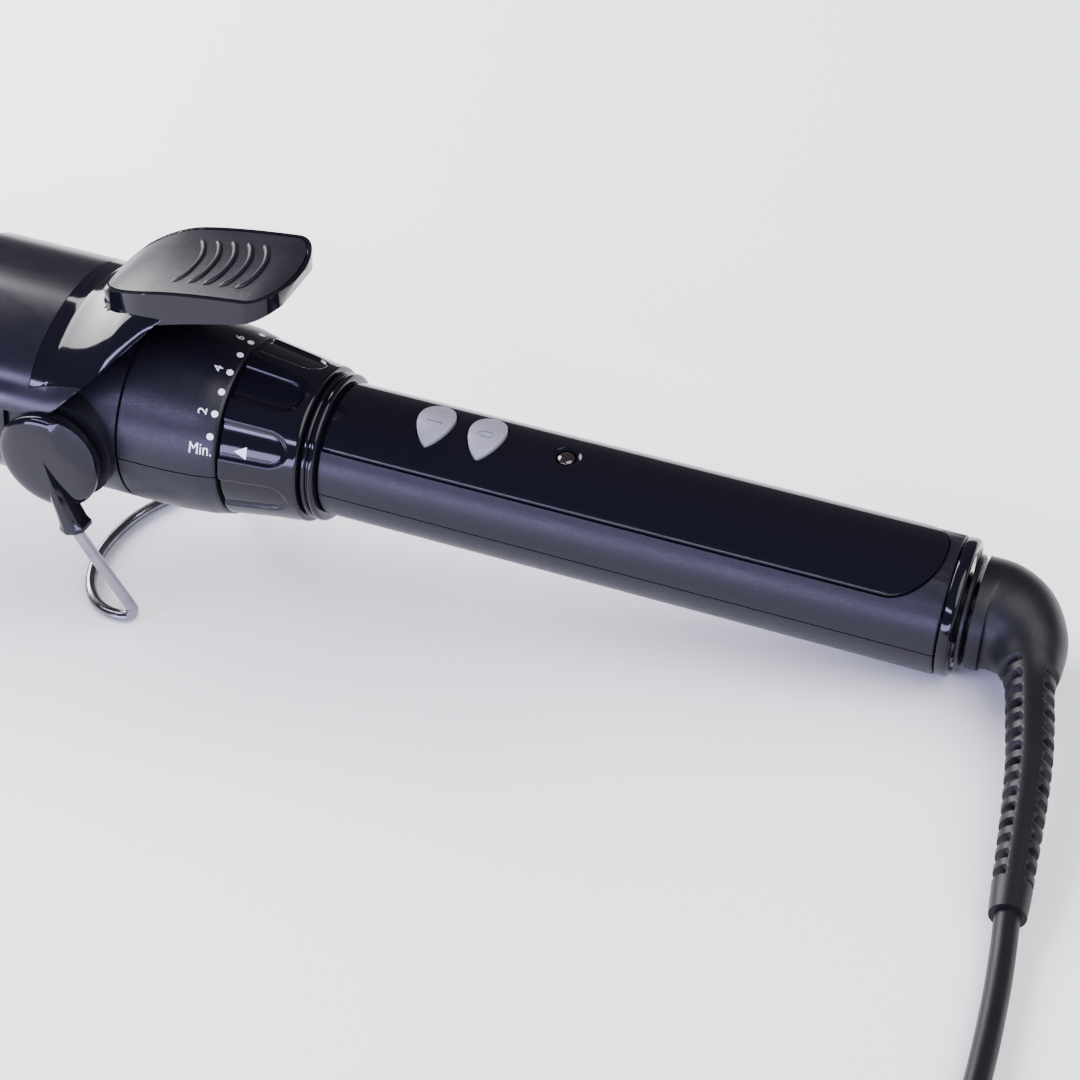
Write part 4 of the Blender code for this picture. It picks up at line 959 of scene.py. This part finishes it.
def make_buttons():
    for name, x in BUTTONS.items():
        button = slab("button_detail_" + name, teardrop(x, 0), 7.0, 16)
        carve(button, drum(BUTTON_CROWN, x - 8, x + 8, "X", sides=160), "INTERSECT")
        bevel(button, 0.42, 4, 40)
        carve(button, slab("flange", box_outline(x, 4.2, 5.8), 7.05, 7.95), "UNION")
        low, high = BUTTON_CROWN - 0.22, BUTTON_CROWN + 1
        if name == "on":
            tool = slab("stroke", box_outline(x, 1.5, 0.2), low, high)
        else:
            tool = slab("stroke", ring_outline(x, 1.6, 0.85), low, high)
            carve(tool, slab("core", ring_outline(x, 1.2, 0.48), low - 1, high + 1))
        carve(button, tool)
        settle(button, HANDLE, "button_silver", name + "_button", "button_" + name, smooth=40)


def make_lens():
    low, top = 8.9, PANEL_OUTER - 0.05
    dome = [(top - 0.55, 1.55), (top - 0.35, 1.5), (top - 0.15, 1.2), (top - 0.04, 0.75), (top, 0.3)]
    stem = [(low, 0.7), (low, 0.9), (top - 1.3, 0.9), (top - 1.2, 1.6)]
    place = HANDLE @ Matrix.Translation((LAMP_X, 0, 0)) @ UPRIGHT
    settle(lathe("indicator_lens_detail", [*stem, *dome], 48), place, "lamp_clear", "housing",
           "indicator_lens", smooth=60)


def make_end():
    spigot, bore = 9.9, 6.3
    corner = arc((CAP_END - 0.8, HANDLE_RADIUS - 0.8), 0.8, 90, 0, 8)
    cap = lathe("end_cap_detail", [(CAP_FRONT - 6, 8.8), (CAP_FRONT - 6, spigot), (CAP_FRONT, spigot),
                                   (CAP_FRONT, 11.85), (CAP_FRONT + 0.15, HANDLE_RADIUS), *corner,
                                   (CAP_END, 10.6), (CAP_END - 0.5, 10.3), (CAP_END - 0.5, bore),
                                   (CAP_END - 3.3, bore), (CAP_END - 3.3, 8.8)], 144, joined=True)
    settle(cap, IRON, "gloss_black", "housing", "end_cap", smooth=45)
    neck = lathe("swivel_neck_detail", [(132.9, 3.2), (132.9, 5.0), (DISC_END, 5.0), (DISC_END, 9.35),
                                        (DISC_END - 0.2, DISC_RADIUS), (DISC_FRONT + 0.2, DISC_RADIUS),
                                        (DISC_FRONT, 9.35), (DISC_FRONT, 5.9), (127.4, 5.9), (127.4, 8.4),
                                        (124.8, 8.4), (124.8, 3.2)], 96, joined=True)
    settle(neck, IRON, "satin_black", "swivel", "swivel_neck")


# Stand ---------------------------------------------------------------------------------------------
def leg_point(distance, y):
    return (HINGE_X + distance * math.sin(STAND_LEAN), y, -distance * math.cos(STAND_LEAN))


# Ridge of a hub, down the leg: distance, half width, height above the hub's face.
RIDGE = [(-1.5, 0.15, 2.2), (0.0, 0.4, 2.5), (4.0, 1.2, 3.2), (6.5, 1.75, 3.5), (10.0, 2.0, 3.65),
         (12.4, 2.25, 3.75), (13.4, 2.8, 3.9), (14.3, 2.6, 3.8)]


def make_hub():
    """The near hub: a shallow dome, two flats on it, and a ridge that holds the wire."""
    rim = [(HUB_FACE, 9.35), (HUB_FACE + 0.2, 9.6), (HUB_FACE + 0.5, HUB_RADIUS)]
    dome = [(HUB_FACE + 0.9 + 1.4 * math.sin(a), HUB_RADIUS * math.cos(a) ** 0.55)
            for a in (0.0, 0.15, 0.3, 0.5, 0.7, 0.9, 1.1, 1.3, 1.45, 1.55)]
    hub = lathe("stand_hub_detail_near", [*rim, *dome], 144)
    only(hub)
    bpy.ops.object.mode_set(mode="EDIT")
    # Each flat: how far out it starts, its tilt and its direction.
    for out, tilt, away in ((5.8, 27, 42), (6.8, 15, 175)):
        tilt, away = math.radians(tilt), math.radians(away)
        outward = Vector((0, math.cos(away), math.sin(away)))
        bpy.ops.mesh.select_all(action="SELECT")
        bpy.ops.mesh.bisect(plane_co=outward * out + Vector((HUB_FACE + 2.2, 0, 0)),
                            plane_no=outward * math.sin(tilt) + Vector((math.cos(tilt), 0, 0)),
                            use_fill=True, clear_outer=True)
    bpy.ops.object.mode_set(mode="OBJECT")
    hub.data.transform(NEAR)
    tidy_normals(hub, 0.001)
    rings = []
    for distance, half, high in RIDGE:
        section = [(-half, 0.1), (-half * 0.92, high - 0.7), (-half * 0.4, high), (half * 0.4, high),
                   (half * 0.92, high - 0.7), (half, 0.1)]
        rings.append([(u, -HUB_FACE - v, -distance) for u, v in section])
    ridge = skin("ridge", rings)
    ridge.data.transform(Matrix.Rotation(-STAND_LEAN, 4, "Y"))
    bevel(ridge, 0.22, 3, 20)
    carve(hub, ridge, "UNION")
    hub.data.transform(Matrix.Translation((HINGE_X, 0, 0)))
    bore = drum(STAND_WIRE / 2 + GAP, -17, -6.5, sides=32)
    bore.data.transform(Matrix.Translation((HINGE_X, -STAND_WIRE_Y, 0))
                        @ Matrix.Rotation(-STAND_LEAN, 4, "Y"))
    carve(hub, bore)
    carve(hub, drum(PIN_BORE, -HUB_FACE - 1.4, -HUB_FACE + 2, "Y", (HINGE_X, 0, 0), 40))
    return hub


def mirrored(piece, name):
    """The same piece on the far side, with a mesh of its own."""
    twin = placed(name, piece.data.copy())
    twin.data.transform(Matrix.Diagonal((1, -1, 1, 1)))
    tidy_normals(twin)
    return twin


def make_stand():
    near = make_hub()
    far = mirrored(near, "stand_hub_detail_far")
    for hub, place in ((near, "near"), (far, "far")):
        settle(hub, IRON, "gloss_black", "stand", "stand_hub_" + place, smooth=30)
    flat = IRON.to_3x3().transposed() @ Vector((1000, 0, 0))
    flat.normalize()
    heel = Vector(leg_point(STAND_LEG, 0))
    side = [Vector(leg_point(7, STAND_WIRE_Y)), Vector(leg_point(15.5, STAND_WIRE_Y)),
            Vector(leg_point(STAND_LEG - 5, STAND_FOOT_HALF_WIDTH + 0.5))]
    for share in (0.1, 0.3, 0.6, 1.0):
        bend = Vector(leg_point(-3.0 * (1 - share) ** 2, 0)) - Vector((HINGE_X, 0, 0))
        side.append(Vector((heel.x, STAND_FOOT_HALF_WIDTH, heel.z)) - 3.0 * share ** 2 * flat + bend)
    foot = []
    for i in range(1, 16):
        a = math.pi * i / 16
        place = heel - (3.0 + (STAND_FOOT_DEPTH - 3.0) * math.sin(a)) * flat
        foot.append(Vector((place.x, STAND_FOOT_HALF_WIDTH * math.cos(a), place.z)))
    other = [Vector((p.x, -p.y, p.z)) for p in reversed(side)]
    route = catmull([*side, *foot, *other], 6)
    data = bpy.data.curves.new("stand_wire_detail", "CURVE")
    data.dimensions = "3D"
    data.bevel_depth = STAND_WIRE / 2 * MM
    data.bevel_resolution = 8
    data.use_fill_caps = True
    spline = data.splines.new("POLY")
    spline.points.add(len(route) - 1)
    for point, place in zip(spline.points, route):
        point.co = (*(IRON @ place), 1)
    wire = placed("stand_wire_detail", data)
    data.materials.append(FINISHES["steel_wire"])
    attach(wire, "stand")
    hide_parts("stand_wire")


# Clamp ---------------------------------------------------------------------------------------------
LEVER_TOP = [(-27.4, 6.2), (-25.6, 8.2), (-22, 10.6), (-15, 13.2), (-5, 15.2), (8, 16.8), (10.4, 16.7)]
LEVER_UNDERSIDE = [(9.6, 13.9), (4, 12.0), (-6, 9.4), (-14, 7.0), (-20, 5.0), (-27.4, 4.4)]
SADDLE = [(-58, 0, 6, 2.6), (-34, 0, 6, 2.6), (-30, 0, 6, 3.0), (-26, 0, 7, 4.6), (-21, 0, 8, 7.9),
          (-18, 3.4, 15, 10.0), (-14, 7.8, 22, 11.6), (-10, 9.8, 25, 12.4)]
LEVER_SIDE, LEVER_WALL, SPOON_REAR = 21.4, 1.6, -34.0


def fine_top():
    return [(p.x, p.y) for p in catmull(LEVER_TOP, 8)]


def make_spoon():
    front, half, count = BARREL_FRONT + 10, math.radians(55), 64
    stations = [SPOON_REAR - i * 12 for i in range(12)] + [front + 12 * (1 - t / 24) for t in range(25)]
    rings = []
    for x in stations:
        past = max(0.0, 1 - (x - front) / 12)
        share = math.sqrt(1 - (0.89 * past) ** 2)
        inner = BARREL_RADIUS + 0.4 + 0.8 * past ** 2
        outer = inner + 0.9
        angles = [half * share * (2 * i / count - 1) for i in range(count + 1)]
        edge = angles[-1] + 0.4 / outer
        ring = [(outer - 0.04, a) for a in angles] + [(outer - 0.25, edge), (inner + 0.25, edge)]
        ring += [(inner, a) for a in reversed(angles)] + [(inner + 0.25, -edge), (outer - 0.25, -edge)]
        rings.append([(x, -r * math.sin(a), r * math.cos(a)) for r, a in ring])
    settle(skin("spoon_detail", rings), IRON, "spoon_black", "clamp", "spoon", smooth=50)


def saddle_section(x, less, middle, height):
    """Arched section of the lever over the barrel: outer line, then the inner line back."""
    lines = []
    for offset in (LEVER_WALL / 2, -LEVER_WALL / 2):
        wide = LEVER_SIDE - less + offset
        tall = BARREL_RADIUS + height - middle + offset
        angles = [math.pi * i / 64 for i in range(65)]
        line = [(wide * math.cos(a), middle + tall * math.sin(a)) for a in angles]
        lines.append([(wide, middle - 16), *line, (-wide, middle - 16)])
    return [(x, y, z) for y, z in lines[0] + list(reversed(lines[1]))]


def tongue_outline(inset):
    """The thumb lever seen from above: long rounded front, blunt rounded rear."""
    half, front, rear = 11.4 - inset, 13.4 - inset, 5.8 - inset
    front_turns = [math.pi * i / 48 for i in range(49)]
    rear_turns = [math.pi * i / 36 for i in range(37)]
    points = [(-14 - front * math.sin(a), half * math.cos(a)) for a in front_turns]
    return points + [(4.6 + rear * math.sin(a), -half * math.cos(a)) for a in rear_turns]


def make_lever():
    stations = [tuple(v) for v in catmull(SADDLE, 5)]
    lever = skin("lever_detail", [saddle_section(*station) for station in stations])
    ear = arc((HINGE_X, 0), 9.0, 117, 450, 72)
    flank = [(-63, ear[0][1]), *ear, (-14, 25), (-5, 34), (-5, 50), (-63, 50)]
    carve(lever, slab("flank", flank, -40, 40, upright=True), "INTERSECT")
    side = [(x, z + BARREL_RADIUS) for x, z in fine_top() + LEVER_UNDERSIDE]
    tongue = slab("tongue", side, -14, 14, upright=True)
    carve(tongue, slab("tongue_shape", tongue_outline(0), 10, 54), "INTERSECT")
    carve(lever, tongue, "UNION")
    strip = [(x, z + 25) for x, z in fine_top()] + [(x, z + 17.5) for x, z in reversed(fine_top())]
    recess = slab("pad_recess", strip, -13, 13, upright=True)
    carve(recess, slab("recess_shape", tongue_outline(0.7), 10, 54), "INTERSECT")
    carve(lever, recess)
    carve(lever, drum(PIN_BORE, -26, 26, "Y", (HINGE_X, 0, 0), 48))
    cheek = placed("clamp_cheeks", lever.data.copy())
    seam = [(SPOON_REAR, 60), (SPOON_REAR, 13.0), (-22.4, 16.1), (-14, 19.0), (30, 24), (30, 60)]
    carve(lever, slab("seam", seam, -40, 40, upright=True), "INTERSECT")
    # The cheeks are cut by the same seam, a hairline lower.
    grown = [(SPOON_REAR - 0.15, 60), (SPOON_REAR - 0.15, 12.85), (-22.4, 15.95), (-14, 18.85),
             (31, 23.8), (31, 60)]
    carve(cheek, slab("seam", grown, -40, 40, upright=True))
    bevel(lever, 0.35, 3, 35)
    bevel(cheek, 0.15, 2, 35)
    settle(lever, IRON, "gloss_black", "clamp", "lever", smooth=35, weighted=True)
    settle(cheek, IRON, "spoon_black", "clamp", smooth=35, weighted=True)
    strip = [(x, z + 19) for x, z in fine_top()] + [(x, z + 17.8) for x, z in reversed(fine_top())]
    pad = slab("thumb_pad_detail", strip, -13, 13, upright=True)
    carve(pad, slab("pad_shape", tongue_outline(1.0), 10, 54), "INTERSECT")
    bevel(pad, 0.25, 3, 35)
    settle(pad, IRON, "satin_black", "clamp", "thumb_pad")


RIB = [(-12.4, 7.0), (-10.9, 5.0), (-9.6, 1.7), (-9.3, -1.9), (-9.7, -5.0), (-10.9, -7.3)]
RIB_STEP, RIB_COUNT = 3.1, 5


def top_height(x):
    for (x0, z0), (x1, z1) in zip(LEVER_TOP, LEVER_TOP[1:]):
        if x <= x1:
            return BARREL_RADIUS + z0 + (z1 - z0) * (x - x0) / (x1 - x0)
    return BARREL_RADIUS + LEVER_TOP[-1][1]


def make_ribs():
    """Curved raised ribs across the thumb pad, for grip."""
    for i in range(RIB_COUNT):
        path = catmull([(x + RIB_STEP * i, y, 0) for x, y in RIB], 8)
        rings = []
        for k, place in enumerate(path):
            ahead = path[min(k + 1, len(path) - 1)] - path[max(k - 1, 0)]
            across = Vector((-ahead.y, ahead.x, 0)).normalized()
            share = min(1.0, 0.25 + min(k, len(path) - 1 - k) / 4)
            ring = []
            for a in (2 * math.pi * n / 16 for n in range(16)):
                point = place + across * (0.55 * share * math.cos(a))
                ring.append((point.x, point.y, top_height(point.x) + 0.05 + 0.45 * share * math.sin(a)))
            rings.append(ring)
        settle(skin(f"pad_rib_{i}", rings), IRON, "satin_black", "clamp", smooth=60)


make_barrel()
make_collar()
make_housing()
make_marks()
make_dial()
make_trim()
make_shells()
make_panel()
make_buttons()
make_lens()
make_end()
make_stand()
make_spoon()
make_lever()
make_ribs()

bpy.context.view_layer.update()
